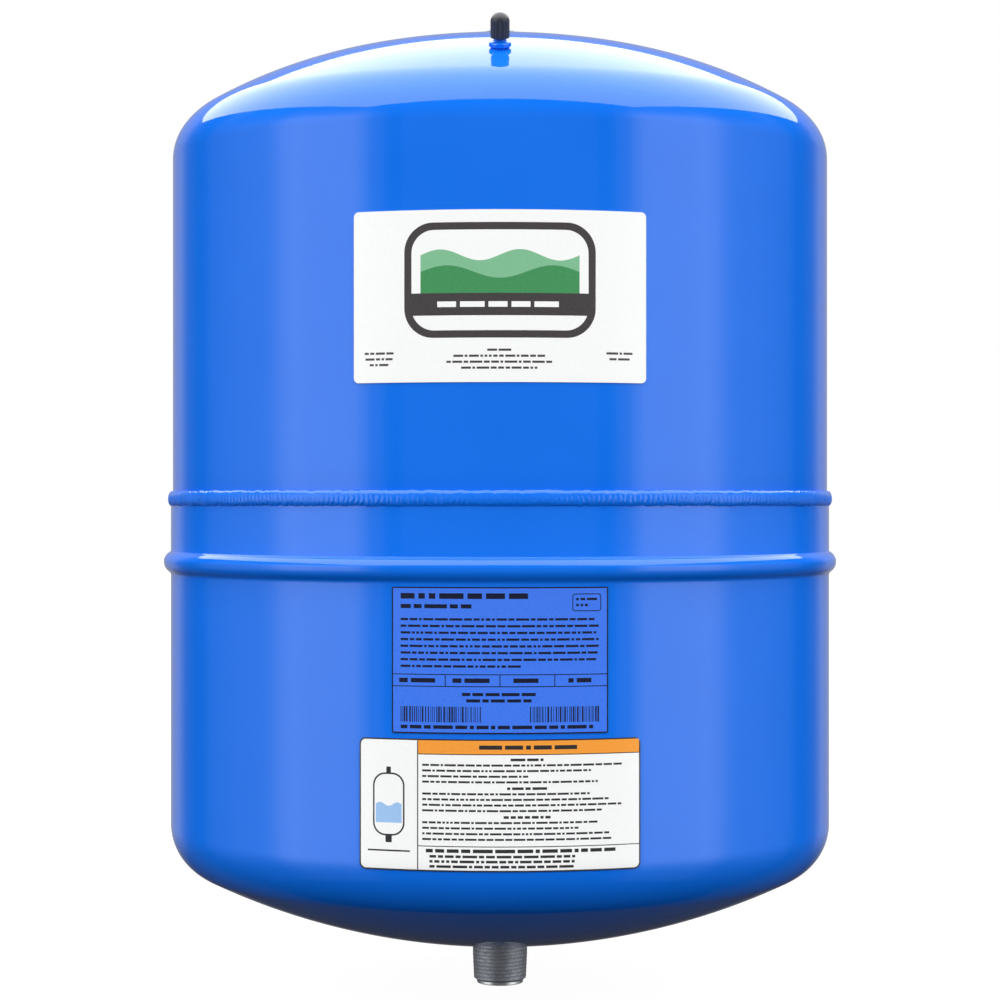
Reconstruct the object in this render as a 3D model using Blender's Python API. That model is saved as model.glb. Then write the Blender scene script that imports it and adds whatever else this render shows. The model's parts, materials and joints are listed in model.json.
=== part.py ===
"""Well pressure tank: a pre-charged diaphragm tank that screws onto a water line by the nipple at its foot.

Metres, +Z up, and the front with the labels faces -Y. The origin is the centre of the nipple's open end.
Two drawn steel shells lap at the seam and are welded there. A rubber diaphragm hangs in the lower shell's
rolled bead and lies on a plastic liner, with the air charge above it. An air valve with a screwed cap
stands on the dome.
"""

import math

import bmesh
import bpy
from mathutils import Matrix

# Fits, wall and how far a cutter runs past what it cuts
FIT_GAP = 0.0003
WALL = 0.0018
CUT_MARGIN = 0.0050

# Shells: the lower one is a little wider, and the upper one's skirt slips inside it
LOWER_RADIUS = 0.2000
RADIUS_STEP = 0.0012
LOWER_LENGTH = 0.1958
UPPER_LENGTH = 0.2024
LAP_DEPTH = 0.0120

# Dished ends: arc radii from the crown out to the knuckle, and how far the upper crown's arc leans
UPPER_HEAD_RADII = (0.4262, 0.2979, 0.0377)
UPPER_CROWN_LEAN = math.radians(13.25)
LOWER_HEAD_RADII = (0.4043, 0.0336)

# Weld at the seam, and the bead rolled below it
WELD_HEIGHT = 0.0089
WELD_PROUD = 0.0018
WELD_FULLNESS = 0.6
BEAD_BELOW_SEAM = 0.0382
BEAD_PROUD = 0.0043
BEAD_FOOT_HEIGHT = 0.0148
BEAD_FACE_HEIGHT = 0.0056

# Diaphragm, its liner and the hoop that clamps it into the bead
LINER_THICKNESS = 0.0015
DIAPHRAGM_THICKNESS = 0.0024
CLAMP_THICKNESS = 0.0022
CLAMP_HEIGHT = 0.0110
CLAMP_CHAMFER = 0.0006

# Water nipple, with a tapered pipe thread outside and a flange inside the shell
NIPPLE_REACH = 0.0271
NIPPLE_RADIUS = 0.01665
NIPPLE_BORE_RADIUS = 0.0127
THREAD_LENGTH = 0.0150
THREAD_END_RADIUS = 0.01595
THREAD_CHAMFER = 0.0012
PILOT_RADIUS = 0.0142
PILOT_LENGTH = 0.0019
FLANGE_RADIUS = 0.0240
FLANGE_THICKNESS = 0.0040
PAD_RISE_WIDTH = 0.0040

# Grid over the nipple's bore, and the ring that seals the liner to the flange
GRID_RADIUS = 0.0149
GRID_THICKNESS = 0.0019
GRID_HOLE_RADIUS = 0.0024
GRID_HOLE_CIRCLE = 0.0084
GRID_OUTER_HOLES = 6
LINER_LIP = 0.0006
SEAL_RING_RADIUS = 0.0200
SEAL_SECTION_RADIUS = 0.00105

# Button on the crown
PLUG_RADIUS = 0.0150
PLUG_HEIGHT = 0.0075
PLUG_CROWN_RADIUS = 0.0415

# Air valve: where it stands on the dome, then its pieces along its own axis from the dome's skin
VALVE_FROM_WALL = 0.0477
BOSS_TOP_RADIUS = 0.00625
BOSS_FOOT_RADIUS = 0.0054
BOSS_HEIGHT = 0.0038
BOSS_DRAW_IN_HEIGHT = 0.0018
BOSS_SPIGOT_RADIUS = 0.0050
BOSS_SPIGOT_DEPTH = 0.0034
BOSS_CHAMFER = 0.0005
BOSS_SIDES = 6
STEM_RADIUS = 0.0038
STEM_TOP = 0.0158
STEM_FOOT_DEPTH = 0.0060
STEM_BORE_RADIUS = 0.0020
CORE_BORE_RADIUS = 0.00275
SEAT_HEIGHT = 0.0060
SEAT_RISE = 0.0015

# Valve core inside the stem
CORE_CLEARANCE = 0.00015
CORE_TOP_DEPTH = 0.0020
CORE_FOOT = 0.0030
BARREL_RADIUS = 0.00155
BARREL_BORE_RADIUS = 0.00115
BARREL_LIP = 0.0009
BARREL_ROOF = 0.0025
GASKET_HEIGHT = 0.0022
PIN_RADIUS = 0.00045
PIN_TOP_DEPTH = 0.0006
PIN_SHOULDER_RADIUS = 0.0010
PIN_SHOULDER_THICKNESS = 0.0006
PIN_FOOT_RADIUS = 0.0012
PIN_FOOT_THICKNESS = 0.0006
CORE_SEAL_RADIUS = 0.0015
CORE_SEAL_THICKNESS = 0.0011
SPRING_RADIUS = 0.0008
SPRING_WIRE_RADIUS = 0.00016
SPRING_TURNS = 7
SPRING_POINTS_PER_TURN = 8

# Valve cap and its seal
CAP_RADIUS = 0.0053
CAP_FOOT = 0.0056
CAP_TOP = 0.0198
CAP_DOME_HEIGHT = 0.0050
CAP_BORE_CLEARANCE = 0.0003
CAP_SEAL_THICKNESS = 0.0012
CAP_RIBS = 16
CAP_RIB_DEPTH = 0.0004

# Labels, as width round the shell and height
LABEL_THICKNESS = 0.00025
FRONT_LABEL_WIDTH = 0.1625
FRONT_LABEL_HEIGHT = 0.0926
FRONT_LABEL_ABOVE_SEAM = 0.0624
FRONT_LABEL_CORNER = 0.0028
DATA_LABEL_WIDTH = 0.1178
DATA_LABEL_HEIGHT = 0.0787
DATA_LABEL_BELOW_BEAD = 0.0019
DATA_LABEL_CORNER = 0.0008
INFO_LABEL_WIDTH = 0.1554
INFO_LABEL_HEIGHT = 0.0711
INFO_LABEL_BELOW_DATA = 0.0029
INFO_LABEL_CORNER = 0.0035

# How finely round shapes are divided
SHELL_STEPS = 48
SMALL_STEPS = 24
TINY_STEPS = 16
CROWN_ROW_LEAN = math.radians(7)
KNUCKLE_ROWS = 5
WELD_ROWS = 6
CORNER_ROWS = 4
PLUG_ROWS = 3
CAP_DOME_ROWS = 6
SEAL_SECTION_STEPS = 8
MERGE_DISTANCE = 1e-7
SHARP_ANGLE = math.radians(35)


class Head:
    """A dished end: arcs that meet without a kink, from the crown out to the knuckle beside the wall."""

    def __init__(self, shell_radius, radii, joins, side):
        self.radii = radii
        self.joins = list(joins)
        self.side = side
        self.tangent_z = 0.0
        self.centres = [0.0]
        for wide, tight, join in zip(radii, radii[1:], joins):
            self.centres.append(self.centres[-1] + (wide - tight) * math.sin(join))
        knuckle_centre = shell_radius - radii[-1]
        sine = (knuckle_centre - self.centres[-1]) / (radii[-2] - radii[-1])
        self.joins.append(math.asin(sine))
        self.centres.append(knuckle_centre)
        self.drops = [0.0]
        for wide, tight, join in reversed(list(zip(radii, radii[1:], self.joins))):
            self.drops.insert(0, self.drops[0] + (wide - tight) * math.cos(join))
        self.height = radii[0] - self.drops[0]

    def point(self, lean, inset=0.0):
        """(radius, height) where the skin's normal leans this far from the axis, moved in by inset."""
        which = sum(lean > join for join in self.joins)
        arc_radius = self.radii[which] - inset
        rise = arc_radius * math.cos(lean) - self.drops[which]
        return self.centres[which] + arc_radius * math.sin(lean), self.tangent_z + self.side * rise

    def lean_at_radius(self, radius, inset=0.0):
        """The skin's lean at this distance from the axis."""
        for arc_radius, centre, join in zip(self.radii, self.centres, self.joins):
            lean = math.asin((radius - centre) / (arc_radius - inset))
            if lean <= join:
                break
        return lean

    def leans(self, through):
        """Leans from the first of these, by the others, out to the tangent line."""
        found = set(through)
        start = through[0]
        for join in self.joins:
            rows = math.ceil((join - start) / CROWN_ROW_LEAN)
            found |= {start + (join - start) * i / rows for i in range(rows + 1)}
            start = join
        span = math.pi / 2 - start
        found |= {start + span * i / KNUCKLE_ROWS for i in range(1, KNUCKLE_ROWS + 1)}
        return sorted(found)

    def points(self, leans, inset=0.0):
        return [self.point(lean, inset) for lean in leans]


upper_radius = LOWER_RADIUS - RADIUS_STEP
lap_radius = LOWER_RADIUS - WALL - FIT_GAP
upper_head = Head(upper_radius, UPPER_HEAD_RADII, [UPPER_CROWN_LEAN], 1)
lower_head = Head(LOWER_RADIUS, LOWER_HEAD_RADII, [], -1)
lower_head.tangent_z = NIPPLE_REACH + lower_head.height
seam_z = lower_head.tangent_z + LOWER_LENGTH
upper_head.tangent_z = seam_z + UPPER_LENGTH
crown_z = upper_head.tangent_z + upper_head.height
weld_foot_z = seam_z - WELD_HEIGHT / 2
bead_z = seam_z - BEAD_BELOW_SEAM
bead_slope = math.atan2(BEAD_PROUD, (BEAD_FOOT_HEIGHT - BEAD_FACE_HEIGHT) / 2)

liner_inset = WALL + FIT_GAP
diaphragm_inset = liner_inset + LINER_THICKNESS + FIT_GAP
clamp_inset = diaphragm_inset + DIAPHRAGM_THICKNESS + FIT_GAP

flange_lean = lower_head.lean_at_radius(FLANGE_RADIUS, WALL)
flange_foot_z = lower_head.point(flange_lean, WALL)[1] + FIT_GAP
flange_top_z = flange_foot_z + FLANGE_THICKNESS
pad_radius = FLANGE_RADIUS + 2 * FIT_GAP

valve_lean = upper_head.lean_at_radius(upper_radius - VALVE_FROM_WALL)
upper_leans = upper_head.leans([0.0, valve_lean])
hole_lean = lower_head.lean_at_radius(NIPPLE_RADIUS + FIT_GAP)
pad_lean = lower_head.lean_at_radius(pad_radius + PAD_RISE_WIDTH)
lining_leans = [lean for lean in lower_head.leans([hole_lean, pad_lean]) if lean >= pad_lean]


def srgb(code):
    """Linear colour of a hexadecimal sRGB code."""
    values = [int(code[i : i + 2], 16) / 255 for i in (0, 2, 4)]
    return [v / 12.92 if v <= 0.04045 else ((v + 0.055) / 1.055) ** 2.4 for v in values] + [1.0]


def material(name, code, roughness, metallic=0.0):
    made = bpy.data.materials.new(name)
    made.use_nodes = True
    shader = made.node_tree.nodes["Principled BSDF"]
    shader.inputs["Base Color"].default_value = srgb(code)
    shader.inputs["Roughness"].default_value = roughness
    shader.inputs["Metallic"].default_value = metallic
    made.diffuse_color = srgb(code)
    return made


def add_object(name, form, finish=None, parent=None):
    """Turns a bmesh into an object, smooth where its faces meet at a small angle."""
    mesh = bpy.data.meshes.new(name)
    bmesh.ops.recalc_face_normals(form, faces=form.faces)
    form.to_mesh(mesh)
    form.free()
    mesh.shade_smooth()
    mesh.set_sharp_from_angle(angle=SHARP_ANGLE)
    if finish:
        mesh.materials.append(finish)
    made = bpy.data.objects.new(name, mesh)
    made.parent = parent
    bpy.context.collection.objects.link(made)
    return made


def turned_form(profile, steps):
    """Spins (radius, height) points about Z. A profile that leaves the axis is closed into a loop."""
    form = bmesh.new()
    corners = [form.verts.new((radius, 0.0, height)) for radius, height in profile]
    edges = [form.edges.new(pair) for pair in zip(corners, corners[1:])]
    if profile[0][0] > MERGE_DISTANCE:
        edges.append(form.edges.new((corners[-1], corners[0])))
    bmesh.ops.spin(form, geom=corners + edges, axis=(0, 0, 1), angle=2 * math.pi, steps=steps, use_merge=True)
    bmesh.ops.remove_doubles(form, verts=form.verts, dist=MERGE_DISTANCE)
    return form


def turned(name, profile, finish=None, steps=SHELL_STEPS, parent=None):
    return add_object(name, turned_form(profile, steps), finish, parent)


def combine(target, tool, operation):
    """A live Boolean, with the tool kept in the file as a hidden guide."""
    tool.hide_render = True
    tool.display_type = "WIRE"
    step = target.modifiers.new(tool.name, "BOOLEAN")
    step.operation = operation
    step.solver = "EXACT"
    step.object = tool


def arc(centre, radius, start, end, rows):
    """Points on a circle in the profile plane, with angles measured from straight out towards up."""
    turns = [start + (end - start) * i / rows for i in range(rows + 1)]
    return [(centre[0] + radius * math.cos(a), centre[1] + radius * math.sin(a)) for a in turns]


def bead_rows(inset, wall_radius):
    """The bead's flanks and flat face, moved in by inset, from the upper to the lower meeting with a wall."""
    face_radius = LOWER_RADIUS + BEAD_PROUD - inset
    face = BEAD_FACE_HEIGHT / 2 - inset * math.tan(bead_slope / 2)
    foot = face + (face_radius - wall_radius) / math.tan(bead_slope)
    rows = ((wall_radius, foot), (face_radius, face), (face_radius, -face), (wall_radius, -foot))
    return [(radius, bead_z + height) for radius, height in rows]


def diaphragm_rim():
    return bead_rows(WALL + 2 * FIT_GAP, LOWER_RADIUS - diaphragm_inset)


def make_upper_shell(finish):
    outer = upper_head.points(upper_leans)
    outer += [(upper_radius, seam_z), (lap_radius, weld_foot_z), (lap_radius, weld_foot_z - LAP_DEPTH)]
    inner = [(lap_radius - WALL, weld_foot_z - LAP_DEPTH), (lap_radius - WALL, weld_foot_z)]
    inner += [(upper_radius - WALL, seam_z)]
    inner += reversed(upper_head.points(upper_leans, WALL))
    return turned("upper_shell", outer + inner, finish)


def make_lower_shell(finish):
    top_z = weld_foot_z - FIT_GAP
    leans = [hole_lean] + lining_leans
    outer = [(LOWER_RADIUS, top_z)] + bead_rows(0.0, LOWER_RADIUS)
    outer += reversed(lower_head.points(leans))
    inner = lower_head.points(leans, WALL)
    inner += reversed(bead_rows(WALL, LOWER_RADIUS - WALL))
    inner += [(LOWER_RADIUS - WALL, top_z)]
    return turned("lower_shell", outer + inner, finish)


def make_girth_weld(finish):
    """A raised bead of weld that covers the lower shell's edge."""
    inner_radius = upper_radius + FIT_GAP
    proud = LOWER_RADIUS + WELD_PROUD - inner_radius
    profile = []
    for i in range(WELD_ROWS + 1):
        turn = math.pi / 2 - math.pi * i / WELD_ROWS
        radius = inner_radius + proud * math.cos(turn) ** WELD_FULLNESS
        profile.append((radius, seam_z + WELD_HEIGHT / 2 * math.sin(turn)))
    return turned("girth_weld", profile, finish)


def lining_rows(inset):
    """A lining's surface parallel to the lower head, raised in the middle onto the nipple's flange."""
    beyond_liner = inset - liner_inset
    rows = lower_head.points(lining_leans, inset)
    pad_z = flange_top_z + FIT_GAP + beyond_liner
    slope = math.atan2(pad_z - rows[0][1], PAD_RISE_WIDTH)
    return [(pad_radius + beyond_liner * math.tan(slope / 2), pad_z)] + rows


def make_liner(finish):
    top_z = diaphragm_rim()[-1][1] - FIT_GAP
    hole_radius = GRID_RADIUS - LINER_LIP
    outer = lining_rows(liner_inset)
    inner = lining_rows(liner_inset + LINER_THICKNESS)
    profile = [(LOWER_RADIUS - liner_inset, top_z)] + outer[::-1]
    profile += [(hole_radius, outer[0][1]), (hole_radius, inner[0][1])] + inner
    profile += [(LOWER_RADIUS - liner_inset - LINER_THICKNESS, top_z)]
    return turned("liner", profile, finish)


def make_diaphragm(finish):
    """A rubber bag with a thick rim that fills the bead, shown pressed onto the liner by the air charge."""
    outer_radius = LOWER_RADIUS - diaphragm_inset
    rim = diaphragm_rim()
    outer = lining_rows(diaphragm_inset)
    inner = lining_rows(diaphragm_inset + DIAPHRAGM_THICKNESS)
    profile = [(0.0, inner[0][1])] + inner
    profile += [(outer_radius - DIAPHRAGM_THICKNESS, rim[0][1])] + rim
    profile += outer[::-1] + [(0.0, outer[0][1])]
    return turned("diaphragm", profile[::-1], finish)


def make_clamp_ring(finish):
    outer = LOWER_RADIUS - clamp_inset
    inner = outer - CLAMP_THICKNESS
    low = bead_z - CLAMP_HEIGHT / 2
    high = bead_z + CLAMP_HEIGHT / 2
    profile = [
        (outer - CLAMP_CHAMFER, high),
        (outer, high - CLAMP_CHAMFER),
        (outer, low + CLAMP_CHAMFER),
        (outer - CLAMP_CHAMFER, low),
        (inner, low),
        (inner, high),
    ]
    return turned("clamp_ring", profile, finish)


def make_water_nipple(finish):
    recess_radius = GRID_RADIUS + FIT_GAP
    recess_z = flange_top_z - GRID_THICKNESS - FIT_GAP
    groove_half = SEAL_SECTION_RADIUS + FIT_GAP
    groove_z = flange_top_z - 2 * SEAL_SECTION_RADIUS - FIT_GAP
    thread_foot_z = PILOT_LENGTH + THREAD_CHAMFER
    profile = [
        (recess_radius, flange_top_z),
        (SEAL_RING_RADIUS - groove_half, flange_top_z),
        (SEAL_RING_RADIUS - groove_half, groove_z),
        (SEAL_RING_RADIUS + groove_half, groove_z),
        (SEAL_RING_RADIUS + groove_half, flange_top_z),
        (FLANGE_RADIUS, flange_top_z),
        (FLANGE_RADIUS, flange_foot_z),
        (NIPPLE_RADIUS, flange_foot_z),
        (NIPPLE_RADIUS, thread_foot_z + THREAD_LENGTH),
        (THREAD_END_RADIUS, thread_foot_z),
        (PILOT_RADIUS, PILOT_LENGTH),
        (PILOT_RADIUS, 0.0),
        (NIPPLE_BORE_RADIUS, 0.0),
        (NIPPLE_BORE_RADIUS, recess_z),
        (recess_radius, recess_z),
    ]
    return turned("water_nipple", profile, finish, SMALL_STEPS)


def make_inlet_grid(finish):
    """A disc with holes, held in the nipple's recess, that keeps the diaphragm out of the bore."""
    low = flange_top_z - GRID_THICKNESS
    disc = [(0.0, flange_top_z), (GRID_RADIUS, flange_top_z), (GRID_RADIUS, low), (0.0, low)]
    grid = turned("inlet_grid", disc, finish, SMALL_STEPS)
    form = bmesh.new()
    spots = [(0.0, 0.0)]
    for i in range(GRID_OUTER_HOLES):
        turn = 2 * math.pi * i / GRID_OUTER_HOLES
        spots.append((GRID_HOLE_CIRCLE * math.cos(turn), GRID_HOLE_CIRCLE * math.sin(turn)))
    for x, y in spots:
        bmesh.ops.create_cone(
            form,
            cap_ends=True,
            segments=TINY_STEPS,
            radius1=GRID_HOLE_RADIUS,
            radius2=GRID_HOLE_RADIUS,
            depth=GRID_THICKNESS + 2 * CUT_MARGIN,
            matrix=Matrix.Translation((x, y, flange_top_z - GRID_THICKNESS / 2)),
        )
    combine(grid, add_object("grid_holes", form), "DIFFERENCE")
    return grid


def make_inlet_seal(finish):
    centre = (SEAL_RING_RADIUS, flange_top_z - SEAL_SECTION_RADIUS)
    section = arc(centre, SEAL_SECTION_RADIUS, 2 * math.pi, 0.0, SEAL_SECTION_STEPS)[:-1]
    return turned("inlet_seal", section, finish, SMALL_STEPS)


def make_crown_plug(finish):
    foot_z = crown_z + FIT_GAP
    top_z = foot_z + PLUG_HEIGHT
    centre = (0.0, top_z - PLUG_CROWN_RADIUS)
    rim_lean = math.asin(PLUG_RADIUS / PLUG_CROWN_RADIUS)
    dome = arc(centre, PLUG_CROWN_RADIUS, math.pi / 2, math.pi / 2 - rim_lean, PLUG_ROWS)
    profile = [(0.0, top_z)] + dome[1:] + [(PLUG_RADIUS, foot_z), (0.0, foot_z)]
    return turned("crown_plug", profile, finish, SMALL_STEPS)


def make_valve_boss(finish, place, shell):
    """A six-sided collar on the dome, drawn in to a round foot, with a spigot through a hole in the shell."""
    bore = STEM_RADIUS + CORE_CLEARANCE
    profile = [
        (BOSS_TOP_RADIUS - BOSS_CHAMFER, BOSS_HEIGHT),
        (BOSS_TOP_RADIUS, BOSS_HEIGHT - BOSS_CHAMFER),
        (BOSS_TOP_RADIUS, BOSS_DRAW_IN_HEIGHT),
        (BOSS_FOOT_RADIUS, FIT_GAP),
        (BOSS_SPIGOT_RADIUS, FIT_GAP),
        (BOSS_SPIGOT_RADIUS, -BOSS_SPIGOT_DEPTH),
        (bore, -BOSS_SPIGOT_DEPTH),
        (bore, BOSS_HEIGHT),
    ]
    hole_radius = BOSS_SPIGOT_RADIUS + FIT_GAP
    reach = WALL + CUT_MARGIN
    drill = [(0.0, reach), (hole_radius, reach), (hole_radius, -reach), (0.0, -reach)]
    combine(shell, turned("valve_hole", drill, steps=SMALL_STEPS, parent=place), "DIFFERENCE")

    form = turned_form(profile, SMALL_STEPS)
    side_turn = 2 * math.pi / BOSS_SIDES
    for vert in form.verts:
        if vert.co.xy.length > BOSS_FOOT_RADIUS + MERGE_DISTANCE:
            off_middle = math.atan2(vert.co.y, vert.co.x) % side_turn - side_turn / 2
            vert.co.xy *= math.cos(side_turn / 2) / math.cos(off_middle)
    return add_object("valve_boss", form, finish, place)


def make_valve_stem(finish, place):
    chamfer = BOSS_CHAMFER
    profile = [
        (STEM_RADIUS - chamfer, STEM_TOP),
        (STEM_RADIUS, STEM_TOP - chamfer),
        (STEM_RADIUS, -STEM_FOOT_DEPTH),
        (STEM_BORE_RADIUS, -STEM_FOOT_DEPTH),
        (STEM_BORE_RADIUS, SEAT_HEIGHT),
        (CORE_BORE_RADIUS, SEAT_HEIGHT + SEAT_RISE),
        (CORE_BORE_RADIUS, STEM_TOP),
    ]
    return turned("valve_stem", profile, finish, SMALL_STEPS, place)


def make_valve_core(brass, steel, rubber, place):
    """The core that holds the air in: barrel, gasket on the stem's seat, sprung pin and the seal it lifts."""
    barrel_top = STEM_TOP - CORE_TOP_DEPTH
    head_radius = CORE_BORE_RADIUS - CORE_CLEARANCE
    gasket_foot = SEAT_HEIGHT + CORE_CLEARANCE
    gasket_top = gasket_foot + GASKET_HEIGHT
    head_foot = gasket_top + CORE_CLEARANCE
    chamber_top = barrel_top - BARREL_ROOF
    pin_hole = PIN_RADIUS + CORE_CLEARANCE
    barrel = [
        (head_radius, barrel_top),
        (head_radius, head_foot),
        (BARREL_RADIUS, head_foot),
        (BARREL_RADIUS, CORE_FOOT),
        (pin_hole, CORE_FOOT),
        (pin_hole, CORE_FOOT + BARREL_LIP),
        (BARREL_BORE_RADIUS, CORE_FOOT + BARREL_LIP),
        (BARREL_BORE_RADIUS, chamber_top),
        (pin_hole, chamber_top),
        (pin_hole, barrel_top),
    ]
    turned("core_barrel", barrel, brass, TINY_STEPS, place)

    gasket_bore = BARREL_RADIUS + CORE_CLEARANCE
    gasket = [
        (head_radius, gasket_top),
        (head_radius, SEAT_HEIGHT + SEAT_RISE),
        (STEM_BORE_RADIUS - CORE_CLEARANCE / 2, gasket_foot),
        (gasket_bore, gasket_foot),
        (gasket_bore, gasket_top),
    ]
    turned("core_gasket", gasket, rubber, TINY_STEPS, place)

    seal_top = CORE_FOOT - CORE_CLEARANCE
    seal_foot = seal_top - CORE_SEAL_THICKNESS
    foot_top = seal_foot - CORE_CLEARANCE
    foot_low = foot_top - PIN_FOOT_THICKNESS
    shoulder_top = chamber_top - CORE_CLEARANCE
    shoulder_low = shoulder_top - PIN_SHOULDER_THICKNESS
    pin_top = STEM_TOP - PIN_TOP_DEPTH
    pin = [
        (0.0, pin_top),
        (PIN_RADIUS, pin_top),
        (PIN_RADIUS, shoulder_top),
        (PIN_SHOULDER_RADIUS, shoulder_top),
        (PIN_SHOULDER_RADIUS, shoulder_low),
        (PIN_RADIUS, shoulder_low),
        (PIN_RADIUS, foot_top),
        (PIN_FOOT_RADIUS, foot_top),
        (PIN_FOOT_RADIUS, foot_low),
        (0.0, foot_low),
    ]
    turned("core_pin", pin, steel, TINY_STEPS, place)

    seal = [
        (CORE_SEAL_RADIUS, seal_top),
        (CORE_SEAL_RADIUS, seal_foot),
        (pin_hole, seal_foot),
        (pin_hole, seal_top),
    ]
    turned("core_seal", seal, rubber, TINY_STEPS, place)

    spring_low = CORE_FOOT + BARREL_LIP + SPRING_WIRE_RADIUS + CORE_CLEARANCE
    spring_high = shoulder_low - SPRING_WIRE_RADIUS - CORE_CLEARANCE
    make_spring(steel, place, spring_low, spring_high)


def make_spring(finish, place, low, high):
    curve = bpy.data.curves.new("core_spring", "CURVE")
    curve.dimensions = "3D"
    curve.bevel_depth = SPRING_WIRE_RADIUS
    curve.bevel_resolution = 1
    curve.use_fill_caps = True
    curve.materials.append(finish)
    count = SPRING_TURNS * SPRING_POINTS_PER_TURN
    coil = curve.splines.new("POLY")
    coil.points.add(count)
    for i, point in enumerate(coil.points):
        turn = 2 * math.pi * SPRING_TURNS * i / count
        height = low + (high - low) * i / count
        point.co = (SPRING_RADIUS * math.cos(turn), SPRING_RADIUS * math.sin(turn), height, 1.0)
    made = bpy.data.objects.new("core_spring", curve)
    made.parent = place
    bpy.context.collection.objects.link(made)
    return made


def make_valve_cap(plastic, rubber, place):
    """A blind cap with a domed end and grip ribs, and the disc inside it that seals the stem's mouth."""
    seal_low = STEM_TOP + FIT_GAP
    seal_high = seal_low + CAP_SEAL_THICKNESS
    bore = STEM_RADIUS + CAP_BORE_CLEARANCE
    ceiling = seal_high + FIT_GAP
    shoulder = CAP_TOP - CAP_DOME_HEIGHT
    dome = []
    for i in range(1, CAP_DOME_ROWS):
        turn = math.pi / 2 * i / CAP_DOME_ROWS
        dome.append((CAP_RADIUS * math.cos(turn), shoulder + CAP_DOME_HEIGHT * math.sin(turn)))
    profile = [(0.0, CAP_TOP)] + dome[::-1]
    profile += [(CAP_RADIUS, shoulder), (CAP_RADIUS, CAP_FOOT)]
    profile += [(bore, CAP_FOOT), (bore, ceiling), (0.0, ceiling)]
    form = turned_form(profile, 2 * CAP_RIBS)
    for vert in form.verts:
        place_round = round(math.atan2(vert.co.y, vert.co.x) / (math.pi / CAP_RIBS))
        outside = vert.co.xy.length > CAP_RADIUS - CAP_RIB_DEPTH / 2
        if outside and place_round % 2:
            vert.co.xy *= 1 - CAP_RIB_DEPTH / CAP_RADIUS
    add_object("valve_cap", form, plastic, place)
    disc_radius = bore - FIT_GAP
    disc = [(0.0, seal_high), (disc_radius, seal_high), (disc_radius, seal_low), (0.0, seal_low)]
    turned("cap_seal", disc, rubber, TINY_STEPS, place)


def skin_rows(top_z, low_z, outset):
    """Points down the plain skin, moved out: the wall, then the lower head's own rows."""
    if low_z > lower_head.tangent_z:
        radius = upper_radius if low_z > seam_z else LOWER_RADIUS
        return [(radius + outset, top_z), (radius + outset, low_z)]
    rows = [(LOWER_RADIUS + outset, top_z)]
    for point in reversed(lower_head.points(lining_leans, -outset)):
        rows.append(point)
        if point[1] < low_z:
            break
    return rows


def make_label(name, width, height, corner, top_z, finish):
    """A sheet bent round the shell: a thin sleeve that follows the skin, trimmed to a rounded outline."""
    low_z = top_z - height
    inner = skin_rows(top_z + corner, low_z - corner, FIT_GAP)
    outer = skin_rows(top_z + corner, low_z - corner, FIT_GAP + LABEL_THICKNESS)
    label = turned(name, outer + inner[::-1], finish)

    radius = inner[0][0]
    half_width = radius * math.sin(width / 2 / radius) - corner
    half_height = height / 2 - corner
    middle = (top_z + low_z) / 2
    form = bmesh.new()
    outline = []
    for quarter, (side, level) in enumerate(((1, 1), (-1, 1), (-1, -1), (1, -1))):
        for i in range(CORNER_ROWS + 1):
            turn = math.pi / 2 * (quarter + i / CORNER_ROWS)
            x = side * half_width + corner * math.cos(turn)
            z = middle + level * half_height + corner * math.sin(turn)
            outline.append(form.verts.new((x, 0.0, z)))
    face = form.faces.new(outline)
    swept = bmesh.ops.extrude_face_region(form, geom=[face])["geom"]
    moved = [item for item in swept if isinstance(item, bmesh.types.BMVert)]
    bmesh.ops.translate(form, verts=moved, vec=(0.0, -2 * LOWER_RADIUS, 0.0))
    combine(label, add_object(name + "_outline", form), "INTERSECT")
    return label


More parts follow.
